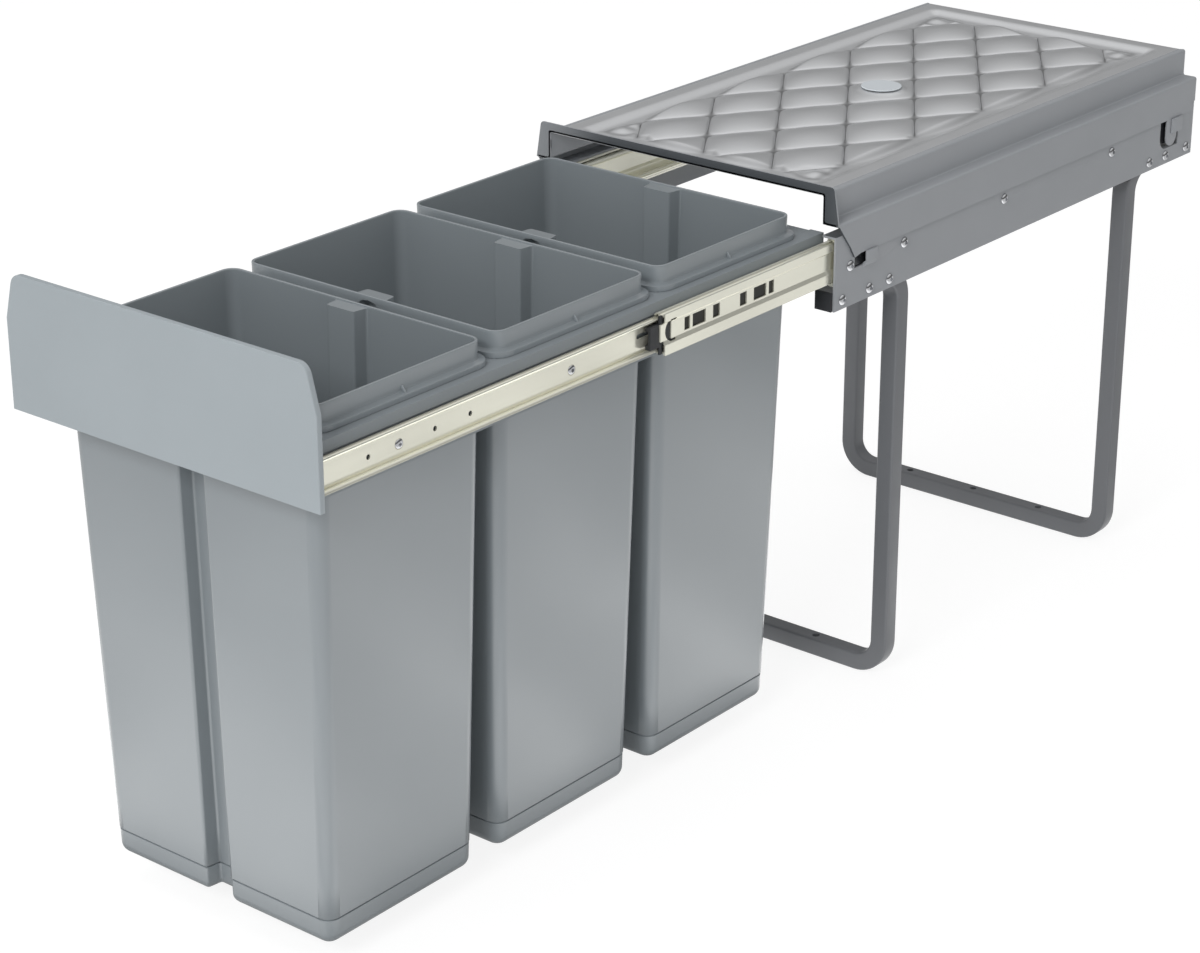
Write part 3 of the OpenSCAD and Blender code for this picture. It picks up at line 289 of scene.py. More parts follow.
def shaded(name, colour, rough, metallic=0.0, shade=(0.97, 1.03), cloud=9.0, grain=None, streak=(1, 1, 1),
           specular=0.5, coat=None):
    """A principled material: cloudy colour and roughness, a bump of fine grain, and at will a clear coat."""
    made = bpy.data.materials.new(name)
    made.use_nodes = True
    tree = made.node_tree
    values = {
        "Metallic": metallic, "Specular IOR Level": specular,
        "Base Color": tinted(tree, colour, noise(tree, cloud, 3.0, streak), *shade),
        "Roughness": noise(tree, cloud * 3, 3.0, streak).ranged(*NOISE_MIDDLE, *rough, "LINEAR")}
    if grain:
        scale, depth = grain
        values["Normal"] = add_node(tree, "ShaderNodeBump", {
            "Strength": 1.0, "Distance": depth, "Height": noise(tree, scale, 2.0, streak)})
    if coat:
        values["Coat Weight"], values["Coat Roughness"] = coat
    for key, value in values.items():
        feed(tree, tree.nodes["Principled BSDF"].inputs[key], value)
    return made


def paint_crease_shade(made):
    """Paints shade on a material: darker along the creases and the scalloped edge of the quilt."""
    lid = bpy.context.scene.bin_unit.lid
    low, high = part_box("lid")
    x, y, _ = coordinates(made.node_tree)
    product, inside = quilt_pattern(x, y - (low.y + high.y) / 2, lid.diamond_width, lid.diamond_length)
    crease = (1.0 - product.ranged(0.0, CREASE_WIDTH)) * inside
    edge = inside * (1.0 - inside) * 2.0
    overlaid(made, (CREASE_SHADE, CREASE_SHADE, CREASE_SHADE, 1.0), crease.at_least(edge), "MULTIPLY")


def paint_shade_behind(made, x_from, y_from, colour):
    """Paints shade on a material beyond two places, far out in X and far back in Y: dark and dull there."""
    x, y, _ = coordinates(made.node_tree)
    in_painted_shade = (abs(x) > x_from) * (y > y_from)
    overlaid(made, linear(colour), in_painted_shade)
    metallic = made.node_tree.nodes["Principled BSDF"].inputs["Metallic"]
    share = metallic.default_value
    feed(made.node_tree, metallic, in_painted_shade * -share + share)


def fade_painted_shade(made, colour):
    """Fades the painted shade towards a lighter colour at the left."""
    x, _, _ = coordinates(made.node_tree)
    overlaid(made, linear(colour), (x * -1.0).ranged(*SHADE_FADE) * SHADE_FADE_SHARE)


COAT = dict(rough=(0.40, 0.50), shade=(0.975, 1.02), cloud=14.0, grain=(1100.0, 0.00002))
ZINC = dict(rough=(0.17, 0.25), metallic=0.62, shade=(0.95, 1.01), cloud=40.0, grain=(900.0, 0.000008),
            streak=(1, 0.03, 1))
RECIPES = {
    "frame_coat": ("frame_grey", COAT),
    "rail_coat": ("rail_grey", COAT),
    # Painted shade: a dark coat for faces that lie in shade
    "painted_shade": ("painted_shade_grey", COAT),
    "leg_coat": ("leg_grey", COAT),
    "plate_coat": ("plate_grey", dict(COAT, rough=(0.42, 0.50))),
    "lid_coat": ("lid_grey", dict(
        rough=(0.30, 0.35), metallic=0.6, shade=(0.98, 1.015), cloud=14.0, grain=(900.0, 0.000003))),
    "bin_plastic_skin": ("bin_grey", dict(
        rough=(0.32, 0.38), shade=(0.98, 1.02), cloud=5.0, specular=0.8, coat=(0.6, 0.14))),
    "slide_zinc": ("zinc", ZINC),
    "slide_zinc_outer": ("zinc", ZINC),
    "slide_zinc_inner": ("zinc", ZINC),
    # Painted shade: the cages' dark tone stands for their shade inside the slides
    "cage_zinc": ("cage", dict(
        ZINC, rough=(0.26, 0.36), metallic=0.9, shade=(0.97, 1.03), streak=(1, 0.05, 1))),
    "bright_plate": ("bright", dict(rough=(0.10, 0.18), metallic=1.0, cloud=120.0, grain=(2500.0, 0.000004))),
    "black_plastic_skin": ("black", dict(
        rough=(0.42, 0.55), shade=(0.9, 1.1), cloud=60.0, grain=(2600.0, 0.00001))),
    "badge_enamel": ("badge", dict(
        rough=(0.12, 0.2), shade=(0.985, 1.01), cloud=60.0, grain=(700.0, 0.000004))),
}


def finish_of(kind):
    """The material of one finish, made once."""
    known = bpy.data.materials.get(kind)
    if known:
        return known
    tone = bpy.context.scene.bin_unit.finish
    colour, recipe = RECIPES[kind]
    made = shaded(kind, getattr(tone, colour), **recipe)
    # Painted shade in the quilt's creases
    if kind == "lid_coat":
        paint_crease_shade(made)
    # Painted shade, lighter towards the left
    if kind == "painted_shade":
        fade_painted_shade(made, tone.frame_grey)
    # Painted shade: the black plastic colour, dull, on the slides behind the panels' windows and behind the
    # slots of the middle members
    if kind == "slide_zinc_outer":
        paint_shade_behind(made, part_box("slide_outer_right")[1].x - 0.3 * MM, -10.0, tone.black)
    if kind == "slide_zinc_inner":
        paint_shade_behind(made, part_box("slide_inner_right")[0].x + 0.6 * MM,
                     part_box("slide_middle_right")[0].y + 8 * MM, tone.black)
    return made


# Meshes and pieces


def new_piece(name, data):
    """An object from a bmesh, from lists of corners, edges and faces, or from ready data."""
    if isinstance(data, bmesh.types.BMesh):
        data = mesh_from(name, data)
    elif isinstance(data, tuple):
        lists = data
        data = bpy.data.meshes.new(name)
        data.from_pydata(*lists)
    piece = bpy.data.objects.new(name, data)
    bpy.context.scene.collection.objects.link(piece)
    return piece


def mesh_from(name, work):
    """A mesh made from a bmesh, which is freed."""
    mesh = bpy.data.meshes.new(name)
    work.to_mesh(mesh)
    work.free()
    return mesh


def smooth_by_angle(mesh, angle, flat_area):
    """Smooth faces, with sharp edges kept sharp and faces over an area in square metres kept flat."""
    work = bmesh.new()
    work.from_mesh(mesh)
    limit = math.radians(angle)
    for face in work.faces:
        face.smooth = face.calc_area() < flat_area
    for edge in work.edges:
        edge.smooth = (len(edge.link_faces) == 2 and edge.calc_face_angle(0.0) < limit
                       and all(face.smooth for face in edge.link_faces))
    work.to_mesh(mesh)
    work.free()


def carried(piece, node_name, finish, angle=35, flat_area=1.0):
    """Bakes and smooths a piece, gives it a finish, and ties it to the node it stands for."""
    if piece.modifiers:
        bake(piece)
    smooth_by_angle(piece.data, angle, flat_area)
    piece.data.materials.clear()
    piece.data.materials.append(finish_of(finish))
    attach(piece, frame["nodes"][node_name]["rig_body"])
    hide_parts(node_name)
    return piece


def painted(piece, finish, chosen):
    """Gives a further finish to the faces that chosen(face) picks."""
    place = len(piece.data.materials)
    piece.data.materials.append(finish_of(finish))
    for face in piece.data.polygons:
        if chosen(face):
            face.material_index = place


def finished_node(name, finish):
    """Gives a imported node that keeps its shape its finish."""
    materials = frame["nodes"][name].data.materials
    materials.clear()
    materials.append(finish_of(finish))


def add_modifier(piece, kind, **settings):
    """A modifier on a piece, with its settings."""
    made = piece.modifiers.new(kind.title(), kind)
    for key, value in settings.items():
        setattr(made, key, value)
    return made


def bake(piece):
    """Turns a piece's modifiers into a plain mesh and removes them."""
    graph = bpy.context.evaluated_depsgraph_get()
    mesh = bpy.data.meshes.new_from_object(piece.evaluated_get(graph))
    old = piece.data
    piece.modifiers.clear()
    piece.data = mesh
    bpy.data.meshes.remove(old)


def hard_edges(work, limit):
    """The edges of a bmesh between two faces that meet at more than a limit, in radians."""
    return [e for e in work.edges if len(e.link_faces) == 2 and e.calc_face_angle(0.0) > limit]


def welded_copy(node_name):
    """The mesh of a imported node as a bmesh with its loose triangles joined."""
    work = bmesh.new()
    work.from_mesh(frame["nodes"][node_name].data)
    bmesh.ops.remove_doubles(work, verts=work.verts, dist=PACKED_WELD)
    return work


def softened(node_name, finish, width, segments=2, angle=40, wide=None):
    """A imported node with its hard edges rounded; wide(edge) gives an edge's share of the width."""
    work = welded_copy(node_name)
    bmesh.ops.dissolve_limit(work, angle_limit=math.radians(0.6), verts=work.verts, edges=work.edges)
    weight = work.edges.layers.float.new("bevel_weight_edge")
    for edge in hard_edges(work, math.radians(angle)):
        edge[weight] = wide(edge) if wide else 1.0
    piece = new_piece(node_name + "_soft", work)
    add_modifier(piece, "BEVEL", limit_method="WEIGHT", width=width, segments=segments,
                 use_clamp_overlap=True)
    return carried(piece, node_name, finish, 40, LARGE_FACE)


def islands(node_name):
    """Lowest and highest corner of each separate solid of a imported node, front to rear."""
    work = welded_copy(node_name)
    left = set(work.verts)
    boxes = []
    while left:
        queue = [left.pop()]
        found = [queue[0].co.copy()]
        while queue:
            for edge in queue.pop().link_edges:
                for vert in edge.verts:
                    if vert in left:
                        left.discard(vert)
                        queue.append(vert)
                        found.append(vert.co.copy())
        boxes.append([Vector([pick(p[i] for p in found) for i in range(3)]) for pick in (min, max)])
    work.free()
    return sorted(boxes, key=lambda pair: (round(pair[0].y, 4), round(pair[0].x, 4), pair[0].z))


def lofted(rings):
    """A skin of quads from each closed ring of places to the next; returned with its rings."""
    work = bmesh.new()
    lines = [[work.verts.new(place) for place in ring] for ring in rings]
    for a, b in zip(lines, lines[1:]):
        for k in range(len(a)):
            m = (k + 1) % len(a)
            work.faces.new((a[k], a[m], b[m], b[k]))
    return work, lines


def plate_from_outline(outline, thickness, to_world):
    """A closed flat plate from an outline of pairs; to_world(a, b, depth) gives a corner's place."""
    work, (near, far) = lofted([[to_world(a, b, depth) for a, b in outline] for depth in (0.0, thickness)])
    work.faces.new(near)
    work.faces.new(list(reversed(far)))
    bmesh.ops.recalc_face_normals(work, faces=work.faces)
    return work


def joined(parts):
    """One bmesh from several, each with its own edges bevelled by a width."""
    whole = bmesh.new()
    for part, width in parts:
        if width:
            bmesh.ops.bevel(part, geom=hard_edges(part, 0.7), offset=width, segments=2, profile=0.5,
                            affect="EDGES", clamp_overlap=True)
        spare = mesh_from("spare", part)
        whole.from_mesh(spare)
        bpy.data.meshes.remove(spare)
    return whole


def sweep(first, last, steps):
    """The cosine and sine at even steps from one angle in degrees to another."""
    turns = [math.radians(first + (last - first) * k / steps) for k in range(steps + 1)]
    return [(math.cos(t), math.sin(t)) for t in turns]


def arc_points(cx, cz, radius, first, last, steps):
    """Points on an arc in a plane, from one angle in degrees to another."""
    return [(cx + radius * c, cz + radius * s) for c, s in sweep(first, last, steps)]


def rounded(corners, radii, steps):
    """A closed outline with each corner rounded by its own radius, in its own number of steps."""
    straight = 2.8
    count = len(corners)
    points = []
    for k, corner in enumerate(corners):
        here = Vector(corner)
        before = Vector(corners[k - 1]) - here
        after = Vector(corners[(k + 1) % count]) - here
        bend = before.angle(after) if before.length and after.length else math.pi
        reach = min(radii[k] / max(math.tan(bend / 2), 0.001), before.length * 0.49, after.length * 0.49)
        start = here + before.normalized() * reach
        end = here + after.normalized() * reach
        pull = 1.0 if bend > straight else 1.12
        for i in range(steps[k] + 1):
            t = i / steps[k]
            w = 2 * t * (1 - t) * math.sin(bend / 2) * pull
            total = (1 - t) ** 2 + w + t ** 2
            points.append(tuple((start * (1 - t) ** 2 + here * w + end * t ** 2) / total))
    return points


# Geometry Nodes


def new_tree(name, floats, others=()):
    """A node tree with named inputs and a Finish; returned with its input sockets."""
    tree = bpy.data.node_groups.new(name, "GeometryNodeTree")
    sockets = [("Geometry", "Geometry")] + [(title, "Float") for title in floats]
    for title, kind in sockets + list(others) + [("Finish", "Material")]:
        tree.interface.new_socket(name=title, in_out="INPUT", socket_type="NodeSocket" + kind)
    tree.interface.new_socket(name="Geometry", in_out="OUTPUT", socket_type="NodeSocketGeometry")
    start = add_node(tree, "NodeGroupInput")
    return tree, {socket.name: Value(tree, socket) for socket in start.outputs}


def end_tree(tree, geometry, finish):
    """Ends a tree in Realize Instances and Set Material."""
    real = add_node(tree, "GeometryNodeRealizeInstances", {"Geometry": geometry})
    paint = add_node(tree, "GeometryNodeSetMaterial", {"Geometry": real, "Material": finish})
    add_node(tree, "NodeGroupOutput", {"Geometry": paint})
    return tree


def with_tree(piece, tree_name, build, values):
    """Adds a nodes modifier with a tree, built once, to a piece and sets its inputs by name."""
    tree = bpy.data.node_groups.get(tree_name) or build(tree_name)
    modifier = add_modifier(piece, "NODES", node_group=tree)
    for item in tree.interface.items_tree:
        if item.item_type == "SOCKET" and item.in_out == "INPUT" and item.name in values:
            modifier[item.identifier] = values[item.name]


def tube_tree(name):
    """Sweeps a square tube with rounded edges along a bent path, and drills a row of floor holes."""
    tree, value = new_tree(name, ("Tube Side", "Edge Radius", "Bend Radius", "Hole Diameter"),
                           (("First Hole", "Vector"), ("Hole Spacing", "Vector")))
    side = value["Tube Side"]

    def filleted(curve, radius, count):
        return add_node(tree, "GeometryNodeFilletCurve", {
            "Curve": curve, "Radius": radius, "Count": count, "Limit Radius": True}, mode="POLY")

    path = add_node(tree, "GeometryNodeMeshToCurve", {"Mesh": value["Geometry"]})
    square = add_node(tree, "GeometryNodeCurvePrimitiveQuadrilateral", {"Width": side, "Height": side})
    bar = add_node(tree, "GeometryNodeCurveToMesh", {
        "Curve": filleted(path, value["Bend Radius"], 14),
        "Profile Curve": filleted(square, value["Edge Radius"], 4), "Fill Caps": True})
    row = add_node(tree, "GeometryNodeMeshLine", {
        "Count": 3, "Start Location": value["First Hole"], "Offset": value["Hole Spacing"]}, mode="OFFSET")
    drill = add_node(tree, "GeometryNodeMeshCylinder", {
        "Vertices": 40, "Radius": value["Hole Diameter"] / 2.0, "Depth": side * 2.0})
    holes = add_node(tree, "GeometryNodeInstanceOnPoints", {"Points": row, "Instance": drill})
    cut = add_node(tree, "GeometryNodeMeshBoolean", {"Mesh 1": bar, "Mesh 2": holes}, operation="DIFFERENCE")
    return end_tree(tree, cut, value["Finish"])


def copies_tree(name):
    """Puts a copy of one small shape on each point, each turned a little further than the last."""
    tree, value = new_tree(name, ("Turn Step",), (("Shape", "Object"),))
    index = Value(tree, add_node(tree, "GeometryNodeInputIndex"))
    turn = add_node(tree, "ShaderNodeCombineXYZ", {"X": index * value["Turn Step"]})
    shape = add_node(tree, "GeometryNodeObjectInfo", {"Object": value["Shape"]})
    place = add_node(tree, "GeometryNodeInstanceOnPoints", {
        "Points": value["Geometry"], "Instance": shape.outputs["Geometry"], "Rotation": turn})
    return end_tree(tree, place, value["Finish"])


def copies_on_points(node_name, ending, points, shape, turn_step):
    """Stands one bright piece, with a copy of a shape on each point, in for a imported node."""
    piece = new_piece(node_name + ending, ([tuple(p) for p in points], [], []))
    with_tree(piece, "Copies on points", copies_tree,
              {"Shape": shape, "Turn Step": turn_step, "Finish": finish_of("bright_plate")})
    carried(piece, node_name, "bright_plate")
    bpy.data.objects.remove(shape)


# Quilted pressing, with shares of a diamond, of its width or of the rise

SCALLOP = 0.12
SCALLOP_POWER = 0.7
HALF_FIELD = (1.5, 2.4)
FIELD_SLOPE = 7.5 * MM
CROWN_POWER = 0.56
STITCH_WIDTH = 0.05
STITCH_DEPTH = 0.13
TRAY_HALF = (101 * MM, 218.5 * MM)
TRAY_SLOPE = 9 * MM
LOBE_PLACE = (1.425, 2.315)
LOBE_RADIUS = 11 * MM
LOBE_RISE = 0.55
LOBE_CLEAR = (0.8, 1.5)
BADGE_LAND = (1.0, 1.3)
BADGE_LAND_RISE = 0.86


def quilt_pattern(x, y, width, length):
    """The quilt as 0 on a crease to 1 inside a diamond, and its scalloped field as 1 inside to 0 outside."""
    u = x / width
    v = y / length

    def wave(turns):
        return abs((turns * math.pi).sine())

    product = wave(u + v + 0.5) * wave(u - v + 0.5)
    bulge = width * SCALLOP
    edge_x = wave(v) ** SCALLOP_POWER * bulge + width * HALF_FIELD[0]
    edge_y = wave(u) ** SCALLOP_POWER * bulge + length * HALF_FIELD[1]
    inside = (edge_x - abs(x)).ranged(0.0, FIELD_SLOPE) * (edge_y - abs(y)).ranged(0.0, FIELD_SLOPE)
    return product, inside


def quilt_tree(name):
    """Presses the quilted field into the flat top of a sheet, with its tray, corner lobes and badge land."""
    tree, value = new_tree(name, ("Diamond Width", "Diamond Length", "Recess", "Rise", "Middle Y", "Top Z",
                                  "Badge Radius"))
    x, y, z = separated(tree, add_node(tree, "GeometryNodeInputPosition"))
    y = y - value["Middle Y"]
    across = abs(x)
    along = abs(y)
    rise = value["Rise"]
    product, inside = quilt_pattern(x, y, value["Diamond Width"], value["Diamond Length"])
    groove = 1.0 - product.ranged(0.0, STITCH_WIDTH)
    pillows = (product ** CROWN_POWER - groove * STITCH_DEPTH) * inside * rise
    tray = (TRAY_HALF[0] - across).ranged(0.0, TRAY_SLOPE) * (TRAY_HALF[1] - along).ranged(0.0, TRAY_SLOPE)
    lobe_far = distance(across - value["Diamond Width"] * LOBE_PLACE[0],
                        along - value["Diamond Length"] * LOBE_PLACE[1]) / LOBE_RADIUS
    lobe = 1.0 - lobe_far.ranged(0.0, 1.0)
    raised = pillows * lobe_far.ranged(*LOBE_CLEAR) + lobe * (rise * LOBE_RISE)
    raw = raised - tray * value["Recess"]
    on_badge = 1.0 - (distance(x, y) / value["Badge Radius"]).ranged(*BADGE_LAND)
    land = rise * BADGE_LAND_RISE - value["Recess"]
    lift = raw * (1.0 - on_badge) + land * on_badge
    on_top = abs(z - value["Top Z"]) < 0.01 * MM
    offset = add_node(tree, "ShaderNodeCombineXYZ", {"Z": lift * on_top})
    press = add_node(tree, "GeometryNodeSetPosition", {"Geometry": value["Geometry"], "Offset": offset})
    return end_tree(tree, press, value["Finish"])


# Lid

FOLD_STEPS = 6
INNER_FOLD = 0.8
LAND_X = (108 * MM, 111 * MM)
FIELD_EDGE_X = 111.5 * MM
HALF_GRID = 3.6
REAR_MARGIN = 3 * MM
RIM_RISE = 5.1 * MM
RIM_TOP_X = 122.4 * MM
RIM_CORNERS = (2.8 * MM, 1.4 * MM)
SKIRT_NOTCH_DROP = 18 * MM
SKIRT_NOTCH = 4.5 * MM
TIP_DROP = 1.5 * MM
TIP_LENGTH = 5.2 * MM
SQUARE_TONGUE = (33.5 * MM, 9 * MM, 28.3 * MM)
ROUND_TONGUE = (429.55 * MM, 7.5 * MM, 13.5 * MM)


def lid_section(lid, top_z, ledge_z, low_z, notch_z):
    """Half of the lid's folded section, from the quilted grid out and down to the skirt's edge."""
    skirt_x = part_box("lid")[1].x
    r = lid.fold_radius
    inner = r * INNER_FOLD
    path = [(x, top_z) for x in LAND_X]
    path += arc_points(lid.wall_x - r, top_z - r, r, 90, 0, FOLD_STEPS)
    path += [(lid.wall_x, top_z - r - (lid.upper_height - r - inner) * k / 3) for k in (1, 2)]
    path += arc_points(lid.wall_x + inner, ledge_z + inner, inner, 180, 270, FOLD_STEPS)
    path += arc_points(skirt_x - r, ledge_z - r, r, 90, 0, FOLD_STEPS)
    return path + [(skirt_x, z) for z in (ledge_z - 8 * MM, notch_z, notch_z - 0.01 * MM, low_z)]


def lid_sheet(lid, top_z, front, rear):
    """The lid's outer surface as one grid: top, folds, ledges, skirts and turned-down rear."""
    ledge_z = top_z - lid.upper_height
    low_z = ledge_z - lid.skirt_depth
    notch_z = ledge_z - SKIRT_NOTCH_DROP
    middle = (front + rear) / 2
    n = lid.cells
    step_x = lid.diamond_width / 2 / n
    step_y = lid.diamond_length / 2 / n
    columns_half = int(HALF_GRID * n)
    half = lid_section(lid, top_z, ledge_z, low_z, notch_z)
    right = [(step_x * k, top_z) for k in range(-columns_half, columns_half + 1)] + half
    section = [(-x, z) for x, z in reversed(half)] + right
    rows_half = int((rear - middle - REAR_MARGIN) / step_y)
    rows = [front - middle] + [step_y * k for k in range(-rows_half, rows_half + 1)] + [rear - middle]
    slant_low = lid.skirt_depth + TIP_DROP
    work = bmesh.new()

    def corner(x, z, place):
        drop = max(0.0, ledge_z - z) if abs(x) > lid.wall_x + 2 * MM else 0.0
        y = middle + place
        if drop:
            first = front + lid.skirt_slant * min(1.0, drop / slant_low)
            last = rear - (SKIRT_NOTCH if z < notch_z else 0.0)
            y = first + (last - first) * (y - front) / (rear - front)
        past = max(0.0, y - front - lid.skirt_slant) / TIP_LENGTH
        if z <= low_z + 0.1 * MM and past < 1:
            z -= TIP_DROP * (1 - past)
        return work.verts.new((x, y, z))

    grid = [[corner(x, z, place) for place in rows] for x, z in section]
    count = len(section)
    first_cell = len(half)
    for i in range(count - 1):
        for j in range(len(rows) - 1):
            a, b, c, d = grid[i][j], grid[i + 1][j], grid[i + 1][j + 1], grid[i][j + 1]
            in_field = first_cell <= i < count - 1 - first_cell and 1 <= j < len(rows) - 2
            block = (i - first_cell - columns_half) // n + (j - 1 - rows_half) // n
            faces = ((a, b, c), (a, c, d)) if block % 2 else ((a, b, d), (b, c, d))
            for face in faces if in_field else ((a, b, c, d),):
                work.faces.new(face)
    # Rear edge, turned down between the walls
    r = lid.fold_radius
    turned = [k for k in range(count) if abs(section[k][0]) <= lid.wall_x - r - 0.2 * MM]
    previous = [grid[k][-1] for k in turned]
    for point in previous:
        point.co.y = rear - r
    for y, z in arc_points(rear - r, top_z - r, r, 90, 0, FOLD_STEPS)[1:] + [(rear, ledge_z - lid.sheet)]:
        current = [work.verts.new((section[k][0], y, z)) for k in turned]
        for k in range(len(turned) - 1):
            work.faces.new((previous[k], previous[k + 1], current[k + 1], current[k]))
        previous = current
    return work


def rim_frame(lid, top_z, foot_z, front, skirt_x):
    """The lid's upright front rim: a plate round the mouth, wider and higher than the lid."""
    inner_x = lid.wall_x - lid.sheet
    rings = []
    for foot_x, rim_x, rim_z, radius in ((skirt_x, RIM_TOP_X, top_z + RIM_RISE, RIM_CORNERS[0]),
                                         (inner_x, inner_x, top_z - lid.sheet, RIM_CORNERS[1])):
        corners = [(-foot_x, foot_z), (-rim_x, rim_z), (rim_x, rim_z), (foot_x, foot_z)]
        radii = [0.01 * MM, radius, radius, 0.01 * MM]
        rings.append(rounded(corners, radii, [1, 8, 8, 1])[1:-1])
    work = bmesh.new()
    outer_near, outer_far, inner_near, inner_far = [
        [work.verts.new((x, y, z)) for x, z in ring] for ring in rings for y in (front, front + lid.sheet)]
    around = [outer_near, inner_near, inner_far, outer_far]
    for k in range(len(outer_near) - 1):
        for a, b in zip(around, around[1:] + around[:1]):
            work.faces.new((a[k], a[k + 1], b[k + 1], b[k]))
    for k in (0, -1):
        work.faces.new([ring[k] for ring in around])
    bmesh.ops.recalc_face_normals(work, faces=work.faces)
    return work


def tongues(lid, skirt_x, front, low_z, panel_low):
    """The skirts' tongues: a square one for the front catch and a round-ended one for the rear hole."""
    square_from, square_length, square_low = SQUARE_TONGUE
    round_middle, radius, round_low = ROUND_TONGUE
    root = low_z + 2 * MM
    start = front + square_from
    end = start + square_length
    tip = panel_low + square_low
    middle = front + round_middle
    arc = arc_points(middle, panel_low + round_low + radius, radius, 180, 360, 24)
    outlines = ([(start, root), (start, tip), (end, tip), (end, root)],
                [(middle - radius, root)] + arc + [(middle + radius, root)])
    parts = []
    for _, sign in SIDES:
        for outline in outlines:
            def to_world(y, z, depth, sign=sign):
                return (sign * (skirt_x - 0.05 * MM - depth), y, z)
            parts.append((plate_from_outline(outline, lid.sheet - 0.1 * MM, to_world), 0.25 * MM))
    return parts


class BINUNIT_OT_lid(Operator):
    """Make the quilted lid with its folds, skirts, tongues and front rim"""
    bl_idname = "bin_unit.lid"
    bl_label = "Lid"

    def execute(self, context):
        lid = context.scene.bin_unit.lid
        low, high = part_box("lid")
        badge_low, badge_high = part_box("lid_badge")
        top_z = high.z - RIM_RISE
        ledge_z = top_z - lid.upper_height
        sheet = new_piece("lid_sheet", lid_sheet(lid, top_z, low.y, high.y))
        with_tree(sheet, "Quilted pressing", quilt_tree, {
            "Diamond Width": lid.diamond_width, "Diamond Length": lid.diamond_length, "Recess": lid.recess,
            "Rise": lid.rise, "Middle Y": (low.y + high.y) / 2, "Top Z": top_z,
            "Badge Radius": (badge_high.x - badge_low.x) / 2, "Finish": finish_of("lid_coat")})
        add_modifier(sheet, "SOLIDIFY", thickness=lid.sheet, offset=-1)
        carried(sheet, "lid", "lid_coat", 55)

        def cut_edge(face):
            looks_out = face.normal.y < -0.5 or face.normal.z < -0.9
            return looks_out and abs(face.center.x) > lid.wall_x + 2 * MM

        painted(sheet, "frame_coat",
                lambda face: abs(face.center.x) > FIELD_EDGE_X or face.center.y > high.y - lid.fold_radius)
        # Painted shade on the skirts' cut edges
        painted(sheet, "painted_shade", cut_edge)
        parts = [(rim_frame(lid, top_z, ledge_z - lid.sheet, low.y, high.x), 0.3 * MM)]
        parts += tongues(lid, high.x, low.y, ledge_z - lid.skirt_depth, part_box("side_panel_right")[0].z)
        trim = new_piece("lid_rim_and_tongues", joined(parts))
        carried(trim, "lid", "frame_coat")
        # Painted shade on the rim's front face
        painted(trim, "painted_shade",
                lambda face: face.normal.y < -0.9 and face.center.y < low.y + lid.sheet / 2)
        return {"FINISHED"}


class BINUNIT_OT_badge(Operator):
    """Finish the plain round badge"""
    bl_idname = "bin_unit.badge"
    bl_label = "Badge"

    def execute(self, context):
        softened("lid_badge", "badge_enamel", 0.3 * MM, segments=3)
        return {"FINISHED"}


# Base


class BINUNIT_OT_side_panels(Operator):
    """Finish the folded side panels with softened edges"""
    bl_idname = "bin_unit.side_panels"
    bl_label = "Side panels"

    def execute(self, context):
        for side, sign in SIDES:
            panel = softened("side_panel_" + side, "frame_coat", 0.35 * MM)
            flange_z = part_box("side_panel_" + side)[1].z - 2 * MM

            # Painted shade on the panels' inner faces and on their top flanges under the lid
            def in_shade(face, sign=sign, flange_z=flange_z):
                return face.normal.x * sign < -0.9 or (face.normal.z > 0.9 and face.center.z > flange_z)

            painted(panel, "painted_shade", in_shade)
        return {"FINISHED"}


class BINUNIT_OT_legs(Operator):
    """Sweep the bent tube legs, drill their floor holes and finish their plugs"""
    bl_idname = "bin_unit.legs"
    bl_label = "Legs"

    def execute(self, context):
        legs = context.scene.bin_unit.legs
        half = legs.tube / 2
        for name, rear in (("leg_front", False), ("leg_rear", True)):
            low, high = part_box(name)
            near, far = (low.y + half, high.y) if rear else (high.y - half, low.y)
            x = high.x - half
            corners = [(x, far, high.z - half), (x, near, high.z - half), (x, near, low.z + half)]
            corners += [(-x, y, z) for _, y, z in reversed(corners)]
            piece = new_piece(name + "_tube", (corners, [(k, k + 1) for k in range(len(corners) - 1)], []))
            with_tree(piece, "Bent square tube", tube_tree, {
                "Tube Side": legs.tube, "Edge Radius": legs.edge_radius, "Bend Radius": legs.bend_radius,
                "Hole Diameter": legs.hole, "First Hole": (-legs.hole_spacing, near, low.z + half),
                "Hole Spacing": (legs.hole_spacing, 0.0, 0.0), "Finish": finish_of("leg_coat")})
            carried(piece, name, "leg_coat")
        softened("leg_plugs", "black_plastic_skin", 0.4 * MM)
        return {"FINISHED"}


# Slides

BALL = 3 * MM


class BINUNIT_OT_slides(Operator):
    """Finish the telescopic slides, their stops and their ball cages"""
    bl_idname = "bin_unit.slides"
    bl_label = "Slides"

    def execute(self, context):
        for side, _ in SIDES:
            for part, finish in (("slide_outer_", "slide_zinc_outer"), ("slide_middle_", "slide_zinc"),
                                 ("slide_inner_", "slide_zinc_inner"), ("cage_outer_", "cage_zinc"),
                                 ("cage_inner_", "cage_zinc")):
                finished_node(part + side, finish)
            softened("slide_stop_" + side, "black_plastic_skin", 0.3 * MM)
        return {"FINISHED"}


class BINUNIT_OT_balls(Operator):
    """Put the rows of balls in their cages"""
    bl_idname = "bin_unit.balls"
    bl_label = "Balls"

    def execute(self, context):
        for name in [row + side for row in ("balls_outer_", "balls_inner_") for side, _ in SIDES]:
            work = bmesh.new()
            bmesh.ops.create_uvsphere(work, u_segments=20, v_segments=12, radius=BALL / 2)
            centres = [(low + high) / 2 for low, high in islands(name)]
            copies_on_points(name, "_row", centres, new_piece("ball_shape", work), 0.0)
        return {"FINISHED"}


# Screws, each kind with the width and height of its heads

SCREWS = (("slide_screws_", 7.6 * MM, 2.2 * MM), ("leg_screws_", 7.6 * MM, 2.2 * MM),
          ("drawer_screws_", 6.6 * MM, 1.3 * MM))
SHANK = 4 * MM
HEX_SOCKET = 1.45 * MM
SCREW_TURN = 0.61


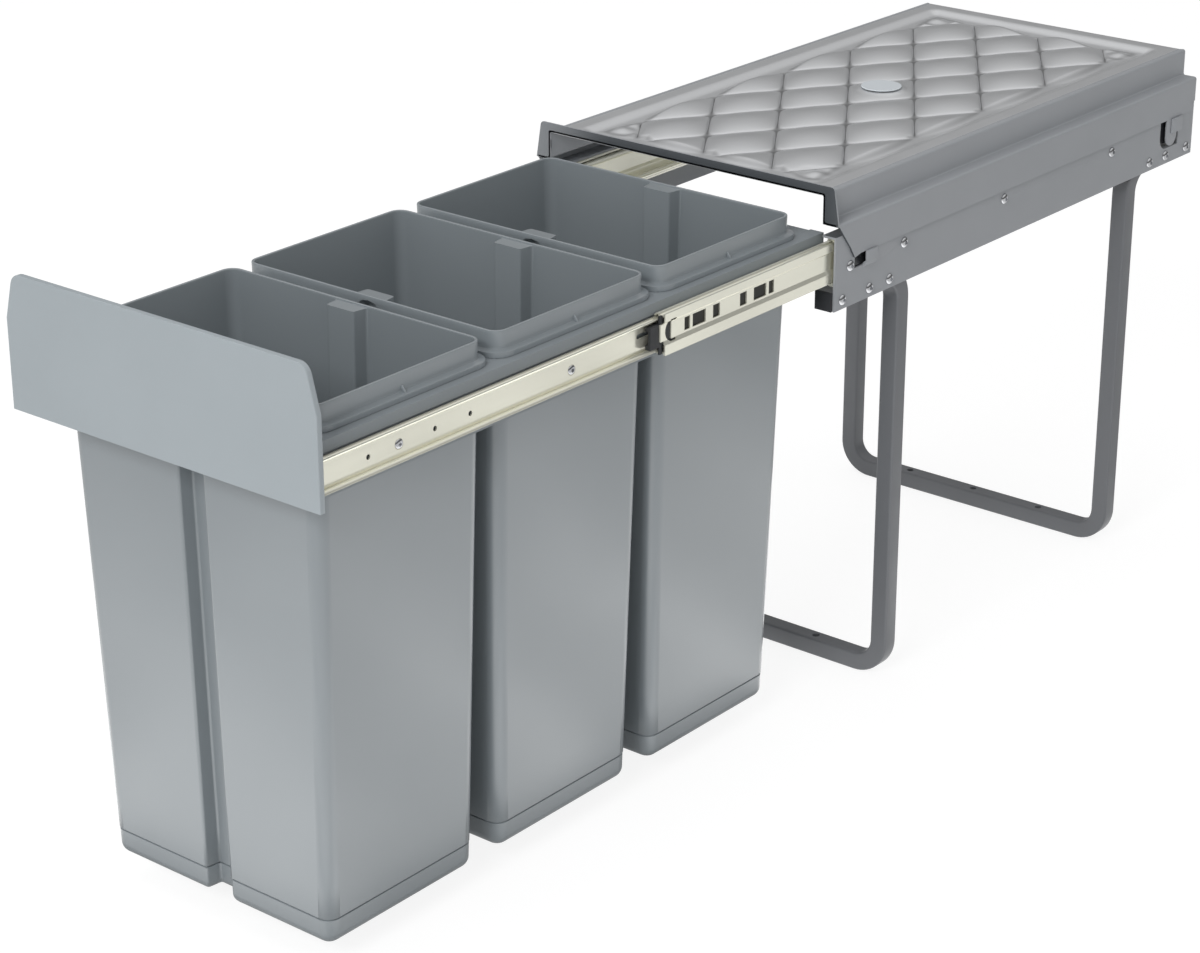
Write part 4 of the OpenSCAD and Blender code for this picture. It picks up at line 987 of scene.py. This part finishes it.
def head_shape(diameter, height, length, axis_turn):
    """A button-head screw with a hexagon socket, its head outside and its shank inwards along one axis."""
    count = 48
    radius = diameter / 2
    flat = HEX_SOCKET * math.cos(math.radians(30))
    hexagon = [flat / math.cos(math.radians((360 * k / count + 30) % 60 - 30)) for k in range(count)]
    rounds = [(0.0, -length), (SHANK / 2, -length), (SHANK / 2, 0.0), (radius * 0.97, 0.0)]
    rounds += [(radius * c ** 0.8, height * s) for c, s in sweep(8, 74, 6)]
    rings = [[pair] * count for pair in rounds]
    for out, up in ((0.15 * MM, height * 0.985), (0.0, height * 0.985 - 0.12 * MM), (0.0, height * 0.35)):
        rings.append([(reach + out, up) for reach in hexagon])
    rings.append([(0.0, height * 0.25)] * count)
    work, _ = lofted([[(z, r * c, r * s) for (r, z), (c, s) in zip(ring, sweep(0, 360, count))]
                      for ring in rings])
    bmesh.ops.remove_doubles(work, verts=work.verts, dist=OWN_WELD)
    bmesh.ops.transform(work, matrix=Matrix.Rotation(math.radians(axis_turn), 4, "Z"), verts=work.verts)
    bmesh.ops.recalc_face_normals(work, faces=work.faces)
    return new_piece("screw_shape", work)


class BINUNIT_OT_screws(Operator):
    """Put a button-head screw in every screw hole"""
    bl_idname = "bin_unit.screws"
    bl_label = "Screws"

    def execute(self, context):
        for kind, width, height in SCREWS:
            for side, sign in SIDES:
                boxes = islands(kind + side)
                full = boxes[0][1].x - boxes[0][0].x
                shape = head_shape(width, height, full - height, 0 if sign > 0 else 180)
                seats = []
                for low, high in boxes:
                    x = high.x - height if sign > 0 else low.x + height
                    seats.append((x, (low.y + high.y) / 2, (low.z + high.z) / 2))
                copies_on_points(kind + side, "_heads", seats, shape, SCREW_TURN)
        finished_node("plate_screws", "bright_plate")
        return {"FINISHED"}


# Drawer frame


class BINUNIT_OT_drawer_frame(Operator):
    """Finish the drawer's rails, cross bars and front plate"""
    bl_idname = "bin_unit.drawer_frame"
    bl_label = "Drawer frame"

    def execute(self, context):
        for name in ("drawer_rail_left", "drawer_rail_right", "cross_bar_front", "cross_bar_middle_1",
                     "cross_bar_middle_2", "cross_bar_rear"):
            softened(name, "rail_coat", 0.45 * MM)
        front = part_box("front_plate")[0]

        def folded(edge):
            on_face = all(abs(v.co.y - front.y) < 0.01 * MM for v in edge.verts)
            at_foot = all(abs(v.co.z - front.z) < 0.01 * MM for v in edge.verts)
            return 1.0 if on_face and not at_foot else 0.2

        softened("front_plate", "plate_coat", 1.3 * MM, segments=4, angle=30, wide=folded)
        return {"FINISHED"}


# Bins

FOOT_RADIUS = 7 * MM
FOOT_STEP = 0.3 * MM
BAND_MM = 17.8
LIP_HEIGHT = 3.6 * MM
FLOOR = 2.2 * MM
INSIDE_TOP = 1.3 * MM


def half_size(bins, share):
    """Half the width and half the length of a bin's outer wall, at a share of its height."""
    return [(foot + (rim - foot) * share) / 2 for foot, rim in ((bins.foot_width, bins.rim_width),
                                                                (bins.foot_length, bins.rim_length))]


def bin_ring(bins, height, full, out, width, depth):
    """One ring of a bin's skin, at a height and at a reach beyond its outer wall."""
    hx, hy = [half + out for half in half_size(bins, height / full)]
    r = max(bins.corner_radius + out, bins.corner_radius / 3)
    w = max(width / 2 - out, 0.2 * MM)
    soft = min(1.8 * MM, w * 0.5)
    right = [(hx, -hy), (hx, hy), (w, hy), (w * 0.9, hy - depth), (-w * 0.9, hy - depth), (-w, hy)]
    corners = right + [(-x, -y) for x, y in right]
    return rounded(corners, [r, r, soft, soft, soft, soft] * 2, [10, 10, 4, 4, 4, 4] * 2)


def bin_rings(bins, full):
    """A bin's skin as rings: up the outside, round the flange, over the rim and down the inside."""
    width, depth, wall, flange = bins.channel_width, bins.channel_depth, bins.wall, bins.flange
    band = BAND_MM * MM
    lip_low = full - bins.rim_rise
    lip_top = lip_low + LIP_HEIGHT
    lip_t = wall * 0.8
    arch_r = width / 2
    arch_top = full - wall - 1 * MM
    slit = width * 0.03
    inside_top = full - INSIDE_TOP
    rings = []

    def add(height, out, w=width, d=depth):
        rings.append([(x, y, height) for x, y in bin_ring(bins, height, full, out, w, d)])

    for c, s in sweep(0, 90, 8):
        add(FOOT_RADIUS * (1 - c), -FOOT_RADIUS * (1 - s) - FOOT_STEP)
    # Groove above the foot, in millimetres from the band's height
    for up, out in ((-1.2, 0.3), (-1.0, 0.5), (-0.8, 1.2), (-0.1, 1.2), (0.1, 0.2), (0.4, 0.0)):
        add((BAND_MM + up) * MM, -out * MM)
    for k in range(1, 12):
        add(band + (lip_top - lip_t - band) * k / 12, 0.0)
    for height, out in (
            (lip_top - lip_t, 0.0), (lip_top - lip_t, flange - lip_t), (lip_low, flange - lip_t),
            (lip_low, flange - 0.25 * MM), (lip_low + 0.25 * MM, flange), (lip_top - 0.8 * MM, flange),
            (lip_top - 0.25 * MM, flange - 0.2 * MM), (lip_top, flange - 0.8 * MM),
            (lip_top + 0.15 * MM, 1.4 * MM), (lip_top + 0.55 * MM, 0.45 * MM), (lip_top + 1.5 * MM, 0.0)):
        add(height, out)
    for c, s in sweep(10, 80, 7):
        add(max(arch_top - arch_r + arch_r * s, lip_top + 1.6 * MM), 0.0, width * c)
    add(arch_top, 0.0, slit)
    for height, out, w in (
            (arch_top + 0.3 * MM, 0.0, slit), (full - 0.7 * MM, 0.0, slit),
            (full - 0.2 * MM, -0.2 * MM, slit), (full, -0.7 * MM, slit), (full, -wall + 0.7 * MM, width),
            (full - 0.2 * MM, -wall + 0.2 * MM, width), (full - 0.7 * MM, -wall, width),
            (full - 1.0 * MM, -wall, width)):
        add(height, out, w, 0.0)
    for k in range(12):
        add(inside_top - (inside_top - FLOOR - FOOT_RADIUS) * k / 11, -wall)
    for c, s in sweep(15, 90, 5):
        add(FLOOR + FOOT_RADIUS * (1 - s), -wall - FOOT_RADIUS * (1 - c) * 0.8)
    return rings


def flange_gusset(bins, sign, middle, low_z, full):
    """A small upright gusset between a bin's side wall and its flange, as a closed shape."""
    foot = full - bins.rim_rise + 3.0 * MM
    top = foot + 4.6 * MM
    wall_x = half_size(bins, foot / full)[0]
    root = wall_x - 0.6 * MM
    thickness = 1.4 * MM
    outline = [(root, foot), (wall_x + bins.flange - 1 * MM, foot),
               (wall_x + bins.flange - 1.6 * MM, foot + 1.4 * MM), (wall_x + 0.6 * MM, top), (root, top)]

    def to_world(x, z, depth):
        return (sign * x, middle - thickness / 2 + depth, low_z + z)

    return plate_from_outline(outline, thickness, to_world)


class BINUNIT_OT_bins(Operator):
    """Mould the three hanging bins"""
    bl_idname = "bin_unit.bins"
    bl_label = "Bins"

    def execute(self, context):
        bins = context.scene.bin_unit.bins
        for name in ("bin_front", "bin_middle", "bin_rear"):
            low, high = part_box(name)
            full = high.z - low.z
            middle = (low.y + high.y) / 2
            work, lines = lofted([[(x, middle + y, low.z + z) for x, y, z in ring]
                                  for ring in bin_rings(bins, full)])
            work.faces.new(list(reversed(lines[0])))
            work.faces.new(lines[-1])
            bmesh.ops.remove_doubles(work, verts=work.verts, dist=OWN_WELD)
            bmesh.ops.triangulate(work, faces=[f for f in work.faces if len(f.verts) > 4])
            bmesh.ops.recalc_face_normals(work, faces=work.faces)
            gussets = [(flange_gusset(bins, sign, middle, low.z, full), 0.3 * MM) for _, sign in SIDES]
            piece = new_piece(name + "_moulding", joined([(work, 0.0)] + gussets))
            carried(piece, name, "bin_plastic_skin", 42, LARGE_FACE)
        return {"FINISHED"}


# Stage

FLOOR_Z = -0.4 * MM
FLOOR_REACH = 8
FLOOR_GLOW = 1.2
FLOOR_GLOW_SHARE = 0.72
BAND_SLANT = -0.56
BAND_WAVES = 30.0
BAND_CLOUD = 9.0
BAND_STRENGTH = 0.3
FILL_SHARE = 0.85
CAMERA_PLACE = (1.1843, -1.7603, 0.9547)
CAMERA_TURN = (0.6875647, 0.3959742, 0.0020265)
CAMERA_LENS = 91.29


def floor_material():
    """A pale floor that keeps the shadow and runs out to white; to mirrored rays it glows with painted
    reflections: soft bands, brighter beside the bins, a painted shadow below them.
    """
    made = shaded("pale_floor", (0.93, 0.93, 0.93), (0.9, 0.9), shade=(0.99, 1.01), cloud=2.0, specular=0.1)
    tree = made.node_tree
    rays = add_node(tree, "ShaderNodeLightPath")
    seen = Value(tree, rays.outputs["Is Camera Ray"])
    glossy = Value(tree, rays.outputs["Is Glossy Ray"])
    x, y, _ = coordinates(tree)
    # Painted reflection: bright beside the bins' footprint, dim below it as a painted shadow, and dim further
    # out
    bins_low, bins_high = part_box("bin_front")[0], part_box("bin_rear")[1]
    off_x = (abs(x) - bins_high.x).at_least(0.0)
    off_y = abs(y - (bins_low.y + bins_high.y) / 2) - (bins_high.y - bins_low.y) / 2
    far = distance(off_x, off_y.at_least(0.0))
    # Painted reflection of soft bands
    bands = ((x * BAND_SLANT + y) * BAND_WAVES + noise(tree, 4.0, 1.0) * BAND_CLOUD).sine()
    near = 1.0 - far.ranged(0.1, 0.65)
    bright = bands * BAND_STRENGTH + (near * 0.9 + 0.72)
    # Painted shadow under the bins, seen in reflections
    shadow = far.ranged(0.0, 0.05) * 0.8 + 0.2
    glow = add_node(tree, "ShaderNodeEmission", {
        "Color": (1, 1, 1, 1), "Strength": seen * FLOOR_GLOW + glossy * (bright * shadow)})
    mix = add_node(tree, "ShaderNodeMixShader", {
        "Fac": (seen * FLOOR_GLOW_SHARE).at_least(glossy),
        1: tree.nodes["Principled BSDF"], 2: glow})
    feed(tree, tree.nodes["Material Output"].inputs["Surface"], mix)
    return made


def studio_world():
    """A white studio: diffuse light is strongest from the horizon, mirrored light from overhead."""
    world = bpy.data.worlds.new("studio")
    world.use_nodes = True
    tree = world.node_tree
    rays = add_node(tree, "ShaderNodeLightPath")
    glossy = Value(tree, rays.outputs["Is Glossy Ray"])
    height = coordinates(tree, "Generated")[2]
    mirrored = height.ranged(0.12, 0.90, 0.10, 0.86) * glossy
    diffuse = height.ranged(0.05, 0.75, 0.95, 0.42) * FILL_SHARE * (1.0 - glossy)
    back = tree.nodes["Background"].inputs
    feed(tree, back["Strength"], (mirrored + diffuse).at_least(Value(tree, rays.outputs["Is Camera Ray"])))
    back["Color"].default_value = (1, 1, 1, 1)
    return world


def soft_box(name, place, aim, width, height, power):
    """A rectangular soft light aimed at a point, which shiny pieces do not mirror."""
    data = bpy.data.lights.new(name, "AREA")
    data.shape = "RECTANGLE"
    data.size = width
    data.size_y = height
    data.energy = power
    lamp = new_piece(name, data)
    lamp.location = place
    lamp.visible_glossy = False
    lamp.rotation_euler = (Vector(aim) - Vector(place)).to_track_quat("-Z", "Y").to_euler()


def photo_camera():
    """The camera at the photograph's place, turn and field of view."""
    azimuth, elevation, roll = CAMERA_TURN
    data = bpy.data.cameras.new("photo_camera")
    data.sensor_width = 36.0
    data.lens = CAMERA_LENS
    camera = new_piece("photo_camera", data)
    camera.matrix_world = (
        Matrix.Translation(CAMERA_PLACE) @ Matrix.Rotation(azimuth, 4, "Z")
        @ Matrix.Rotation(math.pi / 2 - elevation, 4, "X") @ Matrix.Rotation(-roll, 4, "Z"))
    bpy.context.scene.camera = camera


class BINUNIT_OT_stage(Operator):
    """Set up the floor, the white studio, the soft lights and the camera"""
    bl_idname = "bin_unit.stage"
    bl_label = "Stage"

    def execute(self, context):
        ends = ((-1, -1), (1, -1), (1, 1), (-1, 1))
        corners = [(FLOOR_REACH * i, FLOOR_REACH * j, FLOOR_Z) for i, j in ends]
        floor = new_piece("studio_floor", (corners, [], [(0, 1, 2, 3)]))
        floor.data.materials.append(floor_material())
        context.scene.world = studio_world()
        soft_box("key_box", (0.75, -3.1, 2.15), (0.0, -0.25, 0.25), 1.3, 1.0, 42)
        soft_box("top_box", (-0.6, -0.6, 2.8), (0.0, -0.2, 0.2), 2.0, 2.0, 16)
        photo_camera()
        context.scene.view_settings.view_transform = "Standard"
        return {"FINISHED"}


# Panel and registration


class BINUNIT_PT_pieces(Panel):
    """Lists the pieces, their sizes and their finishes"""
    bl_idname = "BINUNIT_PT_pieces"
    bl_label = "Bin Unit"
    bl_space_type = "VIEW_3D"
    bl_region_type = "UI"
    bl_category = "Bin Unit"

    def draw(self, context):
        settings = context.scene.bin_unit
        for group in (settings.lid, settings.bins, settings.legs, settings.finish):
            box = self.layout.box()
            for name in group.__annotations__:
                box.prop(group, name)
        for maker in MAKERS:
            self.layout.operator(maker.bl_idname)


SETTINGS = (LidSizes, BinSizes, LegSizes, Finishes, BinUnitSettings)
MAKERS = (BINUNIT_OT_stage, BINUNIT_OT_lid, BINUNIT_OT_badge, BINUNIT_OT_side_panels, BINUNIT_OT_legs,
          BINUNIT_OT_slides, BINUNIT_OT_balls, BINUNIT_OT_screws, BINUNIT_OT_drawer_frame, BINUNIT_OT_bins)
CLASSES = SETTINGS + MAKERS + (BINUNIT_PT_pieces,)


def register():
    """Registers the settings, the operators and the panel."""
    for kind in CLASSES:
        bpy.utils.register_class(kind)
    bpy.types.Scene.bin_unit = PointerProperty(type=BinUnitSettings, name="Bin unit",
                                               description="Settings of the bin unit")


def unregister():
    """Takes the add-on's classes away again."""
    del bpy.types.Scene.bin_unit
    for kind in reversed(CLASSES):
        bpy.utils.unregister_class(kind)


def main():
    register()
    bpy.ops.bin_unit.stage()
    bpy.ops.bin_unit.lid()
    bpy.ops.bin_unit.badge()
    bpy.ops.bin_unit.side_panels()
    bpy.ops.bin_unit.legs()
    bpy.ops.bin_unit.slides()
    bpy.ops.bin_unit.balls()
    bpy.ops.bin_unit.screws()
    bpy.ops.bin_unit.drawer_frame()
    bpy.ops.bin_unit.bins()


if __name__ == "__main__":
    main()
